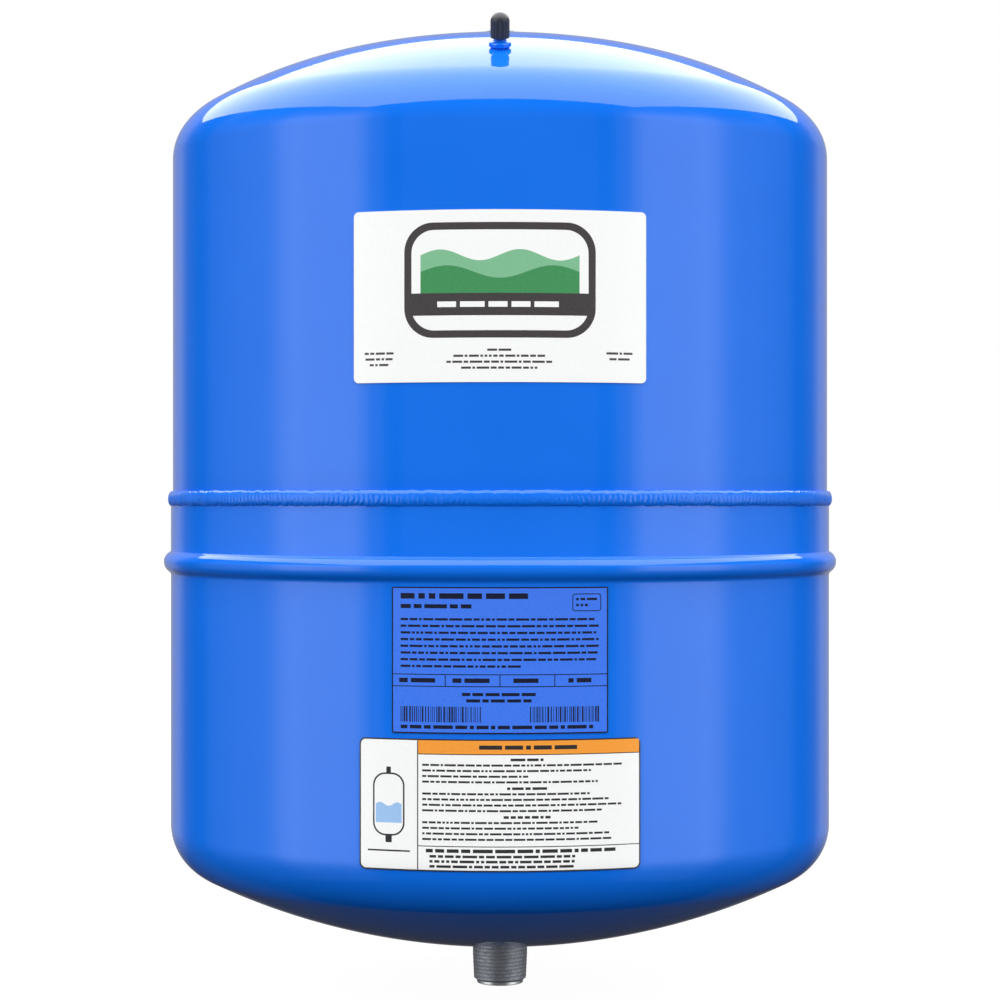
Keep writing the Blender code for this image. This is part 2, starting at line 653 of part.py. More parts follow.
def main():
    for leftover in list(bpy.data.objects):
        bpy.data.objects.remove(leftover)

    blue = material("blue enamel", "1B6EE6", 0.18)
    weld_blue = material("blue enamel over weld", "1A66D6", 0.3)
    steel = material("steel", "6F7378", 0.35, 1.0)
    zinc = material("zinc plated steel", "8E949B", 0.4, 1.0)
    brass = material("brass", "B5934A", 0.3, 1.0)
    butyl = material("butyl rubber", "1D1E20", 0.7)
    polypropylene = material("polypropylene", "E6E4DC", 0.45)
    cap_plastic = material("cap plastic", "2B2E36", 0.5)
    white_vinyl = material("white vinyl", "F4F5F6", 0.35)
    blue_vinyl = material("blue vinyl", "4C7FD0", 0.35)

    upper_shell = make_upper_shell(blue)
    make_lower_shell(blue)
    make_girth_weld(weld_blue)
    make_liner(polypropylene)
    make_diaphragm(butyl)
    make_clamp_ring(zinc)
    make_water_nipple(steel)
    make_inlet_grid(polypropylene)
    make_inlet_seal(butyl)
    make_crown_plug(zinc)

    valve_radius, valve_z = upper_head.point(valve_lean)
    valve_place = bpy.data.objects.new("valve_axis", None)
    valve_place.location = (0.0, -valve_radius, valve_z)
    valve_place.rotation_euler = (valve_lean, 0.0, 0.0)
    bpy.context.collection.objects.link(valve_place)
    make_valve_boss(blue, valve_place, upper_shell)
    make_valve_stem(blue, valve_place)
    make_valve_core(brass, zinc, butyl, valve_place)
    make_valve_cap(cap_plastic, butyl, valve_place)

    front_top = seam_z + FRONT_LABEL_ABOVE_SEAM + FRONT_LABEL_HEIGHT
    bead_foot = bead_rows(0.0, LOWER_RADIUS)[-1][1]
    data_top = bead_foot - DATA_LABEL_BELOW_BEAD
    info_top = data_top - DATA_LABEL_HEIGHT - INFO_LABEL_BELOW_DATA
    labels = (
        ("front_label", FRONT_LABEL_WIDTH, FRONT_LABEL_HEIGHT, FRONT_LABEL_CORNER, front_top, white_vinyl),
        ("data_label", DATA_LABEL_WIDTH, DATA_LABEL_HEIGHT, DATA_LABEL_CORNER, data_top, blue_vinyl),
        ("info_label", INFO_LABEL_WIDTH, INFO_LABEL_HEIGHT, INFO_LABEL_CORNER, info_top, white_vinyl),
    )
    for label in labels:
        make_label(*label)


main()
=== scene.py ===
# %% [markdown]
# # A well pressure tank
# A well pressure tank keeps water under pressure, so that the pump doesn't start for every glass drawn.
# Two pressed steel shells are welded together round the middle and enamelled blue. Inside, a rubber
# diaphragm keeps a charge of air apart from the water. An air valve stands on the dome, and water comes
# in and goes out by a threaded nipple at the foot.
#
# This lesson starts from a plain solid model of the tank, which is correct in size but faceted. Each
# solid gets a smooth mesh and a finish in its place, and at the end a studio is set up round the tank.

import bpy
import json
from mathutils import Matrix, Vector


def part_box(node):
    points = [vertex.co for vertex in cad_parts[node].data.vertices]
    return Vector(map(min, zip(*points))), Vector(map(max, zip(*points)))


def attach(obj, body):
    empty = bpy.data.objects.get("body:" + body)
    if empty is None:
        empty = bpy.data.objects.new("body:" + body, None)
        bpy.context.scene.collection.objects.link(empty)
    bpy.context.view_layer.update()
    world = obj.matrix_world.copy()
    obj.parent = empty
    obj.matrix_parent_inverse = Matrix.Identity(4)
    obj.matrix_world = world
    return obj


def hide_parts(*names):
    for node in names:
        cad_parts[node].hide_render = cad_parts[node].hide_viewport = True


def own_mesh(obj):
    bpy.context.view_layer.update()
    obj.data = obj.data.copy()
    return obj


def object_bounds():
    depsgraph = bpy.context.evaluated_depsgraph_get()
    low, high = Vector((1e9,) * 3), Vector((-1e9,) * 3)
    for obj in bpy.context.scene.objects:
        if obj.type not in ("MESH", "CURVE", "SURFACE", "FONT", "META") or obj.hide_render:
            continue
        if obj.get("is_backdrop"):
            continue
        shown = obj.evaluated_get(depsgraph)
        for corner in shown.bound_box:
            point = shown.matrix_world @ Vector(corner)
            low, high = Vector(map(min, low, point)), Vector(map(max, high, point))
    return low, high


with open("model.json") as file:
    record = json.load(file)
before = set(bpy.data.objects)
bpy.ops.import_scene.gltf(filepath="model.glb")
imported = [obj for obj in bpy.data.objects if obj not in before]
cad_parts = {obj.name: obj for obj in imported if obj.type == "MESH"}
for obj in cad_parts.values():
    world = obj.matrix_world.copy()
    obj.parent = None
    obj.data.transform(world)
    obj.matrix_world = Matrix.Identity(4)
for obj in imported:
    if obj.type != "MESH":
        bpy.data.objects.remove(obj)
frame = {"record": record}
cad_low, cad_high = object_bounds()
print("solid model, m:", [round(v, 4) for v in cad_high - cad_low])

# %% More tools
import json
import math
import random
from functools import partial

import bmesh
import bpy
from mathutils import Matrix, Vector
from mathutils.geometry import delaunay_2d_cdt

MM = 0.001

# %% [markdown]
# ## One function for every node
# Shader trees and geometry trees are built from the same bricks: a node of some kind, its settings, and
# what goes into its sockets. One small function does all of that. A kind without the word Node in it is
# one of the shader kinds, and a word after the kind is its operation. Inputs are given in order, or by
# name or number. Each may be a plain value, a socket of another node, or a node, which then gives its
# first output. A colour ramp also takes its stops, each a place and a colour. Below, node is this
# function with the tree already given.

# %% Adding a node
def add_node(tree, kind, inputs=(), stops=(), **settings):
    kind, _, operation = kind.partition(" ")
    made = tree.nodes.new(kind if "Node" in kind else "ShaderNode" + kind)
    if operation:
        made.operation = operation
    for key, value in settings.items():
        setattr(made, key, value)
    for key, value in (inputs if isinstance(inputs, dict) else dict(enumerate(inputs))).items():
        if isinstance(value, bpy.types.Node):
            value = value.outputs[0]
        if isinstance(value, bpy.types.NodeSocket):
            tree.links.new(value, made.inputs[key])
        else:
            made.inputs[key].default_value = value
    if stops:
        marks = made.color_ramp.elements
        marks[0].position, marks[1].position = stops[0][0], stops[-1][0]
        for place, _ in stops[1:-1]:
            marks.new(place)
        for mark, (_, colour) in zip(marks, stops):
            mark.color = colour
    return made


def linear(code):
    """Colours are written as sRGB hex, as a paint chart gives them. Shaders want them linear."""
    values = [int(code[i : i + 2], 16) / 255 for i in (0, 2, 4)]
    return [v / 12.92 if v <= 0.04045 else ((v + 0.055) / 1.055) ** 2.4 for v in values] + [1.0]


def new_finish(name, roughness, metallic=0.0, ior=1.5):
    """A material with its shader, and the piece's own coordinates for its patterns."""
    made = bpy.data.materials.new(name)
    made.use_nodes = True
    shader = made.node_tree.nodes["Principled BSDF"]
    node = partial(add_node, made.node_tree)
    for key, value in (("Roughness", roughness), ("Metallic", metallic), ("IOR", ior)):
        shader.inputs[key].default_value = value
    return made, node, shader, node("TexCoord").outputs["Object"]


def coat(node, shader, colour, clouds, gloss, relief, depth):
    """Gives a shader its colour, a roughness between two values by one noise, and the bumps of another."""
    roughness = node("MapRange", (clouds, 0.3, 0.7, *gloss))
    bump = node("Bump", {"Height": relief, "Distance": depth})
    sources = {"Base Color": colour, "Roughness": roughness.outputs[0], "Normal": bump.outputs[0]}
    for key, source in sources.items():
        shader.id_data.links.new(source, shader.inputs[key])


# %% [markdown]
# ## Enamel
# The shells are sprayed with a polyester enamel and baked. The melt levels itself to a hard gloss, so
# the studio's panels show in it with crisp edges, and only a faint orange peel, some three millimetres
# from dimple to dimple, makes them waver. Noise gives both the peel and a little cloudiness in the
# colour and the gloss. The refractive index of such a resin is about 1.5.

# %% Blue enamel
ORANGE_PEEL_WIDTH = 3 * MM
ORANGE_PEEL_DEPTH = 0.008 * MM
CLOUD_WIDTH = 45 * MM
ENAMEL_ROUGHNESS = 0.05


def make_enamel(name, light, dark, roughness, peel_width, peel_depth):
    enamel, node, shader, place = new_finish(name, roughness)
    clouds = node("TexNoise", {"Vector": place, "Scale": 1 / CLOUD_WIDTH, "Detail": 3.0})
    peel = node("TexNoise", {"Vector": place, "Scale": 1 / peel_width, "Detail": 1.5})
    tint = node("Mix", {0: clouds, 6: linear(dark), 7: linear(light)}, data_type="RGBA")
    coat(node, shader, tint.outputs[2], clouds, (roughness * 0.8, roughness * 1.3), peel, peel_depth)
    return enamel


blue_enamel = make_enamel(
    "blue baked enamel", "1070E8", "0D6BE0", ENAMEL_ROUGHNESS, ORANGE_PEEL_WIDTH, ORANGE_PEEL_DEPTH
)
weld_enamel = make_enamel("blue enamel over weld", "1070E8", "0D6AE0", 0.09, 0.9 * MM, 0.02 * MM)
print("enamels:", blue_enamel.name, "and", weld_enamel.name)

# %% [markdown]
# ## Metals, rubber and plastics
# The nipple is bare steel with a cut thread: grey and dull, with painted shade that darkens it a little
# down in the grooves. The thread's own tree writes how deep each point lies into an attribute called
# groove, and the steel reads it for that painted shade. The hoop, the spring and the crown's button are
# zinc plated, with the faint cloudy grain of a dull plate. The valve's core is turned brass, brighter and
# smoother than the plate.

# %% Metals
def make_metal(name, light, dark, roughness, grain, grain_depth, shade_in_grooves=False):
    metal, node, shader, place = new_finish(name, roughness, metallic=1.0)
    noise = node("TexNoise", {"Vector": place, "Scale": 1 / grain, "Detail": 5.0})
    stops = ((0.3, linear(dark)), (0.7, linear(light)))
    colour = node("ValToRGB", (noise,), stops).outputs[0]
    if shade_in_grooves:
        # Painted shade: the deeper the groove is cut, the more the colour is mixed towards a darker grey.
        groove = node("Attribute", attribute_name="groove").outputs["Fac"]
        inputs = {0: groove, 6: colour, 7: linear("A4A8B0")}
        colour = node("Mix", inputs, data_type="RGBA").outputs[2]
    coat(node, shader, colour, noise, (roughness * 1.2, roughness * 0.8), noise, grain_depth)
    return metal


nipple_steel = make_metal("cut steel of the nipple", "C6CAD2", "AEB2BA", 0.62, 1.2 * MM, 0.02 * MM, True)
# Painted highlight: the lip's steel is paler than the nipple's, to stand in for the light it catches.
lip_steel_painted_highlight = make_metal("turned steel of the lip with painted highlight", "E4E6EA", "D2D5DA", 0.34, 0.8 * MM, 0.004 * MM)
zinc_plate = make_metal("dull zinc plate", "8E9399", "70757C", 0.42, 2.5 * MM, 0.01 * MM)
valve_brass = make_metal("turned brass", "C9A45A", "A98643", 0.28, 0.6 * MM, 0.005 * MM)

# %% Rubber and plastics
def make_moulded(name, light, dark, roughness, grain, grain_depth, ior=1.5, scatter=0.0):
    """A moulded skin: even colour with a slight mottle, and the fine grain of the mould."""
    skin, node, shader, place = new_finish(name, roughness, ior=ior)
    mottle = node("TexNoise", {"Vector": place, "Scale": 1 / (12 * grain), "Detail": 3.0})
    fine = node("TexNoise", {"Vector": place, "Scale": 1 / grain, "Detail": 2.0})
    tint = node("ValToRGB", (mottle,), ((0, linear(dark)), (1, linear(light))))
    coat(node, shader, tint.outputs[0], fine, (roughness * 0.9, roughness * 1.1), fine, grain_depth)
    shader.inputs["Subsurface Weight"].default_value = scatter
    shader.inputs["Subsurface Scale"].default_value = 2 * MM
    return skin


butyl = make_moulded("butyl rubber", "26272A", "191A1C", 0.62, 0.4 * MM, 0.02 * MM, ior=1.52)
polypropylene = make_moulded(
    "moulded polypropylene", "ECEAE3", "DFDCD2", 0.38, 0.5 * MM, 0.01 * MM, scatter=0.15
)
cap_plastic = make_moulded(
    "moulded nylon of the cap", "34373E", "24262B", 0.42, 0.25 * MM, 0.012 * MM, ior=1.53
)

# %% [markdown]
# ## Printed vinyl
# The three labels are printed on thin vinyl. Ink lies on the sheet in flat fields, so each face of the
# sheet carries its ink as a colour attribute, and the material reads that. A trace of mottle and a fine
# web keep it from looking like a screen.

# %% Vinyl
vinyl, node, shader, place = new_finish("printed vinyl", 0.3)
ink = node("Attribute", attribute_name="ink").outputs["Color"]
web = node("TexNoise", {"Vector": place, "Scale": 1 / (0.6 * MM), "Detail": 2.0})
worn = node("MapRange", (web, 0.2, 0.8, 0.96, 1.0))
shade = node("Mix", {0: 1.0, 6: ink, 7: worn}, data_type="RGBA", blend_type="MULTIPLY")
coat(node, shader, shade.outputs[2], web, (0.26, 0.34), web, 0.004 * MM)

# %% A finish for each slot of the record
FINISHES = {
    "blue_enamel": blue_enamel,
    "enamelled_weld": weld_enamel,
    "nipple_steel": nipple_steel,
    "zinc_plated_steel": zinc_plate,
    "valve_brass": valve_brass,
    "butyl_rubber": butyl,
    "polypropylene": polypropylene,
    "cap_plastic": cap_plastic,
    "white_vinyl": vinyl,
    "blue_vinyl": vinyl,
}
print(len(FINISHES), "slots have a finish")

# %% [markdown]
# ## Turned shapes
# Nearly every piece of a pressure tank is round, because pressed, turned and moulded parts are. Blender's
# Screw modifier or bmesh's spin would make them. Here the rings are laid directly, which gives full
# control over how many rows a curve gets and closes the poles with single points.

# %% A turned mesh
def turned_mesh(name, profile, segments, crease=28):
    """Spins (radius, height) points about Z. A profile that starts off the axis is closed into a loop."""
    verts, rings, faces = [], [], []
    turns = [2 * math.pi * i / segments for i in range(segments)]
    for radius, height in profile:
        spots = [(0.0, 0.0, height)]
        if radius >= 1e-7:
            spots = [(radius * math.cos(t), radius * math.sin(t), height) for t in turns]
        rings.append(range(len(verts), len(verts) + len(spots)))
        verts += spots
    pairs = list(zip(rings, rings[1:]))
    if len(rings[0]) > 1:
        pairs.append((rings[-1], rings[0]))
    for first, second in pairs:
        for i in range(segments):
            ways = ((first, i), (first, i + 1), (second, i + 1), (second, i))
            face = list(dict.fromkeys(ring[k % segments % len(ring)] for ring, k in ways))
            if len(face) > 2:
                faces.append(face)
    mesh = bpy.data.meshes.new(name)
    mesh.from_pydata(verts, [], faces)
    form = bmesh.new()
    form.from_mesh(mesh)
    bmesh.ops.recalc_face_normals(form, faces=form.faces)
    form.to_mesh(mesh)
    form.free()
    mesh.shade_smooth()
    mesh.set_sharp_from_angle(angle=math.radians(crease))
    return mesh


def arc(centre, radius, start, end, rows):
    """Points on a circle, with angles in degrees from straight out towards up."""
    turns = [math.radians(start + (end - start) * i / rows) for i in range(rows + 1)]
    return [(centre[0] + radius * math.cos(t), centre[1] + radius * math.sin(t)) for t in turns]


def swept(start, sweeps):
    """Arcs that follow on from each other, each as its first and last angle, radius and rows."""
    path = [start]
    for first, last, radius, rows in sweeps:
        bow = arc((0.0, 0.0), radius, first, last, rows)
        path += [(path[-1][0] + x - bow[0][0], path[-1][1] + y - bow[0][1]) for x, y in bow[1:]]
    return path


def line(start, end, rows):
    """Points from start to end, without the first."""
    (x, y), (last_x, last_y) = start, end
    return [(x + (last_x - x) * i / rows, y + (last_y - y) * i / rows) for i in range(1, rows + 1)]


def mm(*points):
    """Points whose numbers are millimetres."""
    return [(x * MM, y * MM) for x, y in points]


def add_piece(mesh, name, slot, body="tank", place=None):
    """A finished mesh takes the place of the solid of this name, and moves with its body."""
    if place is not None:
        mesh.transform(place)
        mesh.update()
    piece = bpy.data.objects.new(name + "_finished", mesh)
    bpy.context.collection.objects.link(piece)
    if not mesh.materials:
        mesh.materials.append(FINISHES[slot])
    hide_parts(name)
    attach(piece, body)
    print(piece.name, len(mesh.polygons), "faces")
    return piece


def add_turned(name, profile, segments, slot, body="tank", place=None):
    return add_piece(turned_mesh(name, profile, segments), name, slot, body, place)


# %% [markdown]
# ## The two shells
# Each shell is drawn from a steel disc in a press. Its end is a dished one: wide arcs over the crown that
# turn through a tight knuckle arc into the wall, the shape that stands pressure well. The bands of light
# on the dome follow those arcs, so the mesh is made from them and not from a subdivided cage. The upper
# shell is set in a little at the seam, and its skirt slips inside the lower one.

# %% Dished ends
WALL = 1.8 * MM
FIT_GAP = 0.3 * MM
LOWER_RADIUS = 200 * MM
UPPER_RADIUS = 198.8 * MM
SHELL_SEGMENTS = 288


class DishedEnd:
    """Arcs that meet without a kink, from the crown out to the knuckle beside the wall."""

    def __init__(self, shell_radius, radii, joins, side):
        self.radii, self.joins, self.side, self.tangent_z = radii, list(joins), side, 0.0
        self.centres = [0.0]
        for wide, tight, join in zip(radii, radii[1:], joins):
            self.centres.append(self.centres[-1] + (wide - tight) * math.sin(join))
        knuckle_centre = shell_radius - radii[-1]
        self.joins.append(math.asin((knuckle_centre - self.centres[-1]) / (radii[-2] - radii[-1])))
        self.centres.append(knuckle_centre)
        self.drops = [0.0]
        for wide, tight, join in reversed(list(zip(radii, radii[1:], self.joins))):
            self.drops.insert(0, self.drops[0] + (wide - tight) * math.cos(join))
        self.height = radii[0] - self.drops[0]

    def point(self, lean, outset=0.0):
        """Where the skin's normal leans this far from the axis."""
        which = sum(lean > join for join in self.joins)
        reach = self.radii[which] + outset
        rise = reach * math.cos(lean) - self.drops[which]
        return self.centres[which] + reach * math.sin(lean), self.tangent_z + self.side * rise

    def lean_at(self, radius):
        """How far the skin leans at this distance from the axis."""
        for reach, centre, join in zip(self.radii, self.centres, self.joins):
            lean = math.asin((radius - centre) / reach)
            if lean <= join:
                return lean

    def rows(self, outset=0.0, first_lean=0.0):
        """Points from the first lean out to the wall, closer together where the skin turns slowly."""
        leans, start = [first_lean], first_lean
        for end, step in zip(self.joins + [math.pi / 2], [0.6, 0.6, 1.6][: len(self.joins)] + [2.0]):
            count = math.ceil(math.degrees(end - start) / step)
            leans += [start + (end - start) * i / count for i in range(1, count + 1)]
            start = end
        return [self.point(lean, outset) for lean in leans]


UPPER_RADII = (425.9 * MM, 300 * MM, 44.2 * MM, 32.1 * MM)
UPPER_JOINS = (math.radians(13.22), math.radians(30.07))
LOWER_RADII = (404.3 * MM, 33.6 * MM)
LOWER_END_BELOW_SEAM = 195.8 * MM

upper_end = DishedEnd(UPPER_RADIUS, UPPER_RADII, UPPER_JOINS, 1)
lower_end = DishedEnd(LOWER_RADIUS, LOWER_RADII, (), -1)
weld_low, weld_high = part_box("girth_weld")
seam_z = (weld_low.z + weld_high.z) / 2
upper_end.tangent_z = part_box("upper_shell")[1].z - upper_end.height
lower_end.tangent_z = seam_z - LOWER_END_BELOW_SEAM
print("seam at", round(seam_z, 4), "and crown at", round(upper_end.tangent_z + upper_end.height, 4))

# %% Where the valve stands
cap_joint = next(j for j in frame["record"]["behaviour"]["joints"] if j["name"] == "cap_turn")
valve_foot, valve_axis = Vector(cap_joint["pos_m"]), Vector(cap_joint["axis"])
valve_lean = math.atan2(-valve_axis.y, valve_axis.z)
valve_place = Matrix.Translation(valve_foot) @ Matrix.Rotation(valve_lean, 4, "X")
proud = (valve_foot.z - upper_end.point(upper_end.lean_at(-valve_foot.y))[1]) / MM
print("valve leans", round(math.degrees(valve_lean), 2), "deg, over the skin by", round(proud, 3), "mm")

# %% Upper shell, with the hole for the valve
LAP_DEPTH = 12 * MM
BOSS_SPIGOT_RADIUS = 5 * MM
DRILL_REACH = 8 * MM

lap_radius, lap_foot_z = LOWER_RADIUS - WALL - FIT_GAP, weld_low.z - LAP_DEPTH
outer = upper_end.rows() + line((UPPER_RADIUS, upper_end.tangent_z), (UPPER_RADIUS, seam_z), 12)
outer += [(lap_radius, weld_low.z), (lap_radius, lap_foot_z)]
inner = [(lap_radius - WALL, lap_foot_z), (lap_radius - WALL, weld_low.z), (UPPER_RADIUS - WALL, seam_z)]
inner += upper_end.rows(-WALL)[::-1]
upper_mesh = turned_mesh("upper_shell", outer + inner, SHELL_SEGMENTS)


def cut_with(mesh, tool_mesh):
    """Takes one mesh out of another, and gives back a plain mesh."""
    target = bpy.data.objects.new("cut_target", mesh)
    tool = bpy.data.objects.new("cut_tool", tool_mesh)
    for thing in (target, tool):
        bpy.context.collection.objects.link(thing)
    step = target.modifiers.new("cut", "BOOLEAN")
    step.object, step.operation, step.solver = tool, "DIFFERENCE", "EXACT"
    done = bpy.data.meshes.new_from_object(target.evaluated_get(bpy.context.evaluated_depsgraph_get()))
    for thing in (target, tool):
        bpy.data.objects.remove(thing)
    return done


drill_radius = BOSS_SPIGOT_RADIUS + FIT_GAP
drill = [(0.0, DRILL_REACH), (drill_radius, DRILL_REACH), (drill_radius, -DRILL_REACH), (0.0, -DRILL_REACH)]
drill_mesh = turned_mesh("drill", drill, 48)
drill_mesh.transform(valve_place)
upper_mesh = cut_with(upper_mesh, drill_mesh)
upper_mesh.set_sharp_from_angle(angle=math.radians(28))
add_piece(upper_mesh, "upper_shell", "blue_enamel")

# %% [markdown]
# The lower shell has a bead rolled outwards below the seam, which holds the diaphragm's thick rim. The
# roller leaves it fuller above than below: three arcs come down over the top of it, and a plain arc with
# a wide fillet goes on to its foot. The layers inside follow the plain arc, and one function gives them.

# %% Lower shell
BEAD_BELOW_SEAM = 37.85 * MM
BEAD_PROUD = 4.3 * MM
BEAD_ARC = 7.3 * MM
BEAD_TOP = 6.6 * MM
BEAD_SWEEPS = ((180, 241, 0.6 * MM, 4), (61, 22, 8.4 * MM, 8), (22, 0, 3.6 * MM, 4))
NIPPLE_RADIUS = 16.65 * MM
LOWER_SHELL_TOP = 3.55 * MM

bead_z = seam_z - BEAD_BELOW_SEAM
bead_centre = LOWER_RADIUS + BEAD_PROUD - BEAD_ARC


def bead_rows(inset, wall_radius, fillet, rows=12):
    """The bead's section moved in by inset, from top to bottom, with a fillet where it meets the wall."""
    reach, out = BEAD_ARC - inset, wall_radius + fillet - bead_centre
    rise = math.sqrt((reach + fillet) ** 2 - out**2)
    turn = math.degrees(math.atan2(rise, out))
    top = arc((wall_radius + fillet, bead_z + rise), fillet, 180, 180 + turn, 5)
    foot = arc((wall_radius + fillet, bead_z - rise), fillet, 180 - turn, 180, 5)
    return top + arc((bead_centre, bead_z), reach, turn, -turn, rows)[1:-1] + foot


nipple_lean = lower_end.lean_at(NIPPLE_RADIUS + FIT_GAP)
top_z = seam_z - LOWER_SHELL_TOP
below = [point for point in bead_rows(0.0, LOWER_RADIUS, 3.0 * MM) if point[1] < bead_z - 0.01 * MM]
skin = [(LOWER_RADIUS, top_z)] + swept((LOWER_RADIUS, bead_z + BEAD_TOP), BEAD_SWEEPS) + below
skin += line(skin[-1], (LOWER_RADIUS, lower_end.tangent_z), 8)[:-1]
skin += lower_end.rows(first_lean=nipple_lean)[::-1]
bore = lower_end.rows(-WALL, first_lean=nipple_lean)
bore += line(bore[-1], (LOWER_RADIUS - WALL, bead_z - 20 * MM), 4)
bore += bead_rows(WALL, LOWER_RADIUS - WALL, 1.0 * MM + WALL)[::-1] + [(LOWER_RADIUS - WALL, top_z)]
add_turned("lower_shell", skin + bore, SHELL_SEGMENTS, "blue_enamel")

# %% [markdown]
# ## Trees of geometry nodes
# Three shapes on this tank repeat by a rule: the ripples of the weld, the threads, and the cap's ribs.
# Drawing each ridge by hand would take many loops, and bump in a material wouldn't change the outline.
# A geometry tree moves the points of a plain turned mesh instead. Its sizes are named inputs, so the
# same tree serves a pipe thread, a valve thread and the ribs of the cap.

# %% Running a tree on a mesh
def new_tree(name, *sizes):
    """A geometry tree, its node function, and sockets for a mesh, the named sizes and a finish."""
    tree = bpy.data.node_groups.new(name, "GeometryNodeTree")
    incoming = [("Geometry", "Geometry")] + [(size, "Float") for size in sizes] + [("Finish", "Material")]
    for label, kind in incoming:
        tree.interface.new_socket(label, in_out="INPUT", socket_type="NodeSocket" + kind)
    tree.interface.new_socket("Geometry", in_out="OUTPUT", socket_type="NodeSocketGeometry")
    node = partial(add_node, tree)
    return tree, node, {socket.name: socket for socket in node("NodeGroupInput").outputs}


def end_tree(node, size, geometry):
    """Every tree ends in Realize Instances and Set Material."""
    real = node("GeometryNodeRealizeInstances", (geometry,))
    painted = node("GeometryNodeSetMaterial", {"Geometry": real, "Material": size["Finish"]})
    node("NodeGroupOutput", (painted,))


def run_tree(tree, mesh, slot, crease=28, **sizes):
    """Runs a tree on a mesh with these sizes, and gives back the result as a plain mesh."""
    carrier = bpy.data.objects.new("carrier", mesh)
    bpy.context.collection.objects.link(carrier)
    step = carrier.modifiers.new("tree", "NODES")
    step.node_group = tree
    wanted = {key.replace("_", " "): value for key, value in sizes.items()}
    wanted["Finish"] = FINISHES[slot]
    for item in tree.interface.items_tree:
        if item.in_out == "INPUT" and item.name in wanted:
            step[item.identifier] = wanted.pop(item.name)
    if wanted:
        raise ValueError("no such input: " + ", ".join(wanted))
    done = bpy.data.meshes.new_from_object(carrier.evaluated_get(bpy.context.evaluated_depsgraph_get()))
    bpy.data.objects.remove(carrier)
    done.shade_smooth()
    done.set_sharp_from_angle(angle=math.radians(crease))
    print("tree", tree.name, "made", len(done.vertices), "points")
    return done


def round_the_axis(node):
    """A point's place, its parts, its turns round Z, the way out from Z, and how far out it is."""
    spot = node("GeometryNodeInputPosition")
    xyz = node("SeparateXYZ", (spot,)).outputs
    angle = node("Math ARCTAN2", (xyz["Y"], xyz["X"]))
    turn = node("Math DIVIDE", (angle, 2 * math.pi))
    flat = node("CombineXYZ", (xyz["X"], xyz["Y"]))
    radius = node("VectorMath LENGTH", (flat,)).outputs["Value"]
    return spot, xyz, turn, flat, radius


# %% [markdown]
# ### The weld
# A weld is laid as a row of overlapping puddles, and each one freezes as a crescent. Seen from the side
# that is a row of fine ripples, about three to the centimetre, with hand-made unevenness. The phase of
# the ripples goes round with the angle, bends back away from the middle of the bead, and is pushed about
# by noise. A second, slower noise makes some puddles shallower. The top of the bead lies calmer than its
# middle, and the quick noise makes its edges wander.

# %% Weld ripples
WELD_SIZES = ("Ripples", "Depth", "Bend", "Seam Height", "Half Height", "Inner Radius", "Wander")
tree, node, size = new_tree("weld ripples", *WELD_SIZES)
spot, xyz, turn, _, radius = round_the_axis(node)
quick_noise = node("TexNoise", {"Vector": spot, "Scale": 1 / (5 * MM), "Detail": 3.0})
slow_noise = node("TexNoise", {"Vector": spot, "Scale": 1 / (38 * MM), "Detail": 2.0})
rise = node("Math SUBTRACT", (xyz["Z"], size["Seam Height"]))
up = node("Math DIVIDE", (rise, size["Half Height"]))
up_squared = node("Math MULTIPLY", (up, up))
count = node("Math MULTIPLY", (turn, size["Ripples"]))
bend = node("Math MULTIPLY_ADD", (up_squared, size["Bend"], count))
wave = node("Math MULTIPLY_ADD", (quick_noise, 1.6, bend))
for operation, other in (("MULTIPLY", math.pi), ("SINE", 0), ("ABSOLUTE", 0), ("SUBTRACT", 1)):
    wave = node("Math " + operation, (wave, other))
uneven = node("MapRange", (slow_noise, 0.35, 0.6, 0.6, 1.0))
calm = node("MapRange", (up, 0.2, 0.6, 1.0, 0.1))
proud = node("Math SUBTRACT", (radius, size["Inner Radius"]))
outside = node("MapRange", (proud, 0.0, 0.9 * MM, 0.0, 1.0))
sink, wander = wave, node("MapRange", (quick_noise, 0.3, 0.7, -1.0, 1.0))
for factor in (uneven, calm, size["Depth"], outside):
    sink = node("Math MULTIPLY", (sink, factor))
for factor in (size["Wander"], outside):
    wander = node("Math MULTIPLY", (wander, factor))
normal = node("GeometryNodeInputNormal")
push = node("VectorMath SCALE", {0: normal, "Scale": sink})
shift = node("CombineXYZ", {2: wander})
both = node("VectorMath ADD", (push, shift))
end_tree(node, size, node("GeometryNodeSetPosition", {"Geometry": size["Geometry"], "Offset": both}))

# %% The weld's own mesh
WELD_PROUD = 1.8 * MM
WELD_HALF = 4.4 * MM
WELD_INNER = UPPER_RADIUS + 0.05 * MM
WELD_OVER_LOWER = LOWER_RADIUS + 0.05 * MM
REBATE_Z = seam_z - 3.5 * MM
WELD_SWEEPS = ((48, 17, 4.6 * MM, 8), (17, 4, 9.0 * MM, 4), (4, -8, 8.5 * MM, 3), (-8, -45, 4.6 * MM, 8))

path = swept((0.0, 0.0), WELD_SWEEPS)
out = LOWER_RADIUS + WELD_PROUD - max(x for x, _ in path)
path = [(x + out, seam_z + WELD_HALF + y) for x, y in path]
print("weld from", round(path[-1][1] / MM, 2), "to", round(path[0][1] / MM, 2), "mm")
profile = [(WELD_INNER, seam_z + WELD_HALF - 0.3 * MM)]
profile += [(WELD_INNER + 0.6 * MM, seam_z + WELD_HALF - 0.1 * MM)] + path
profile += [(WELD_OVER_LOWER, path[-1][1]), (WELD_OVER_LOWER, REBATE_Z), (WELD_INNER, REBATE_Z)]
weld_mesh = run_tree(
    tree, turned_mesh("girth_weld", profile, 3000), "enamelled_weld", crease=50, Ripples=420, Bend=0.5,
    Depth=0.36 * MM, Seam_Height=seam_z, Half_Height=WELD_HALF, Inner_Radius=WELD_INNER, Wander=0.3 * MM,
)
add_piece(weld_mesh, "girth_weld", "enamelled_weld")

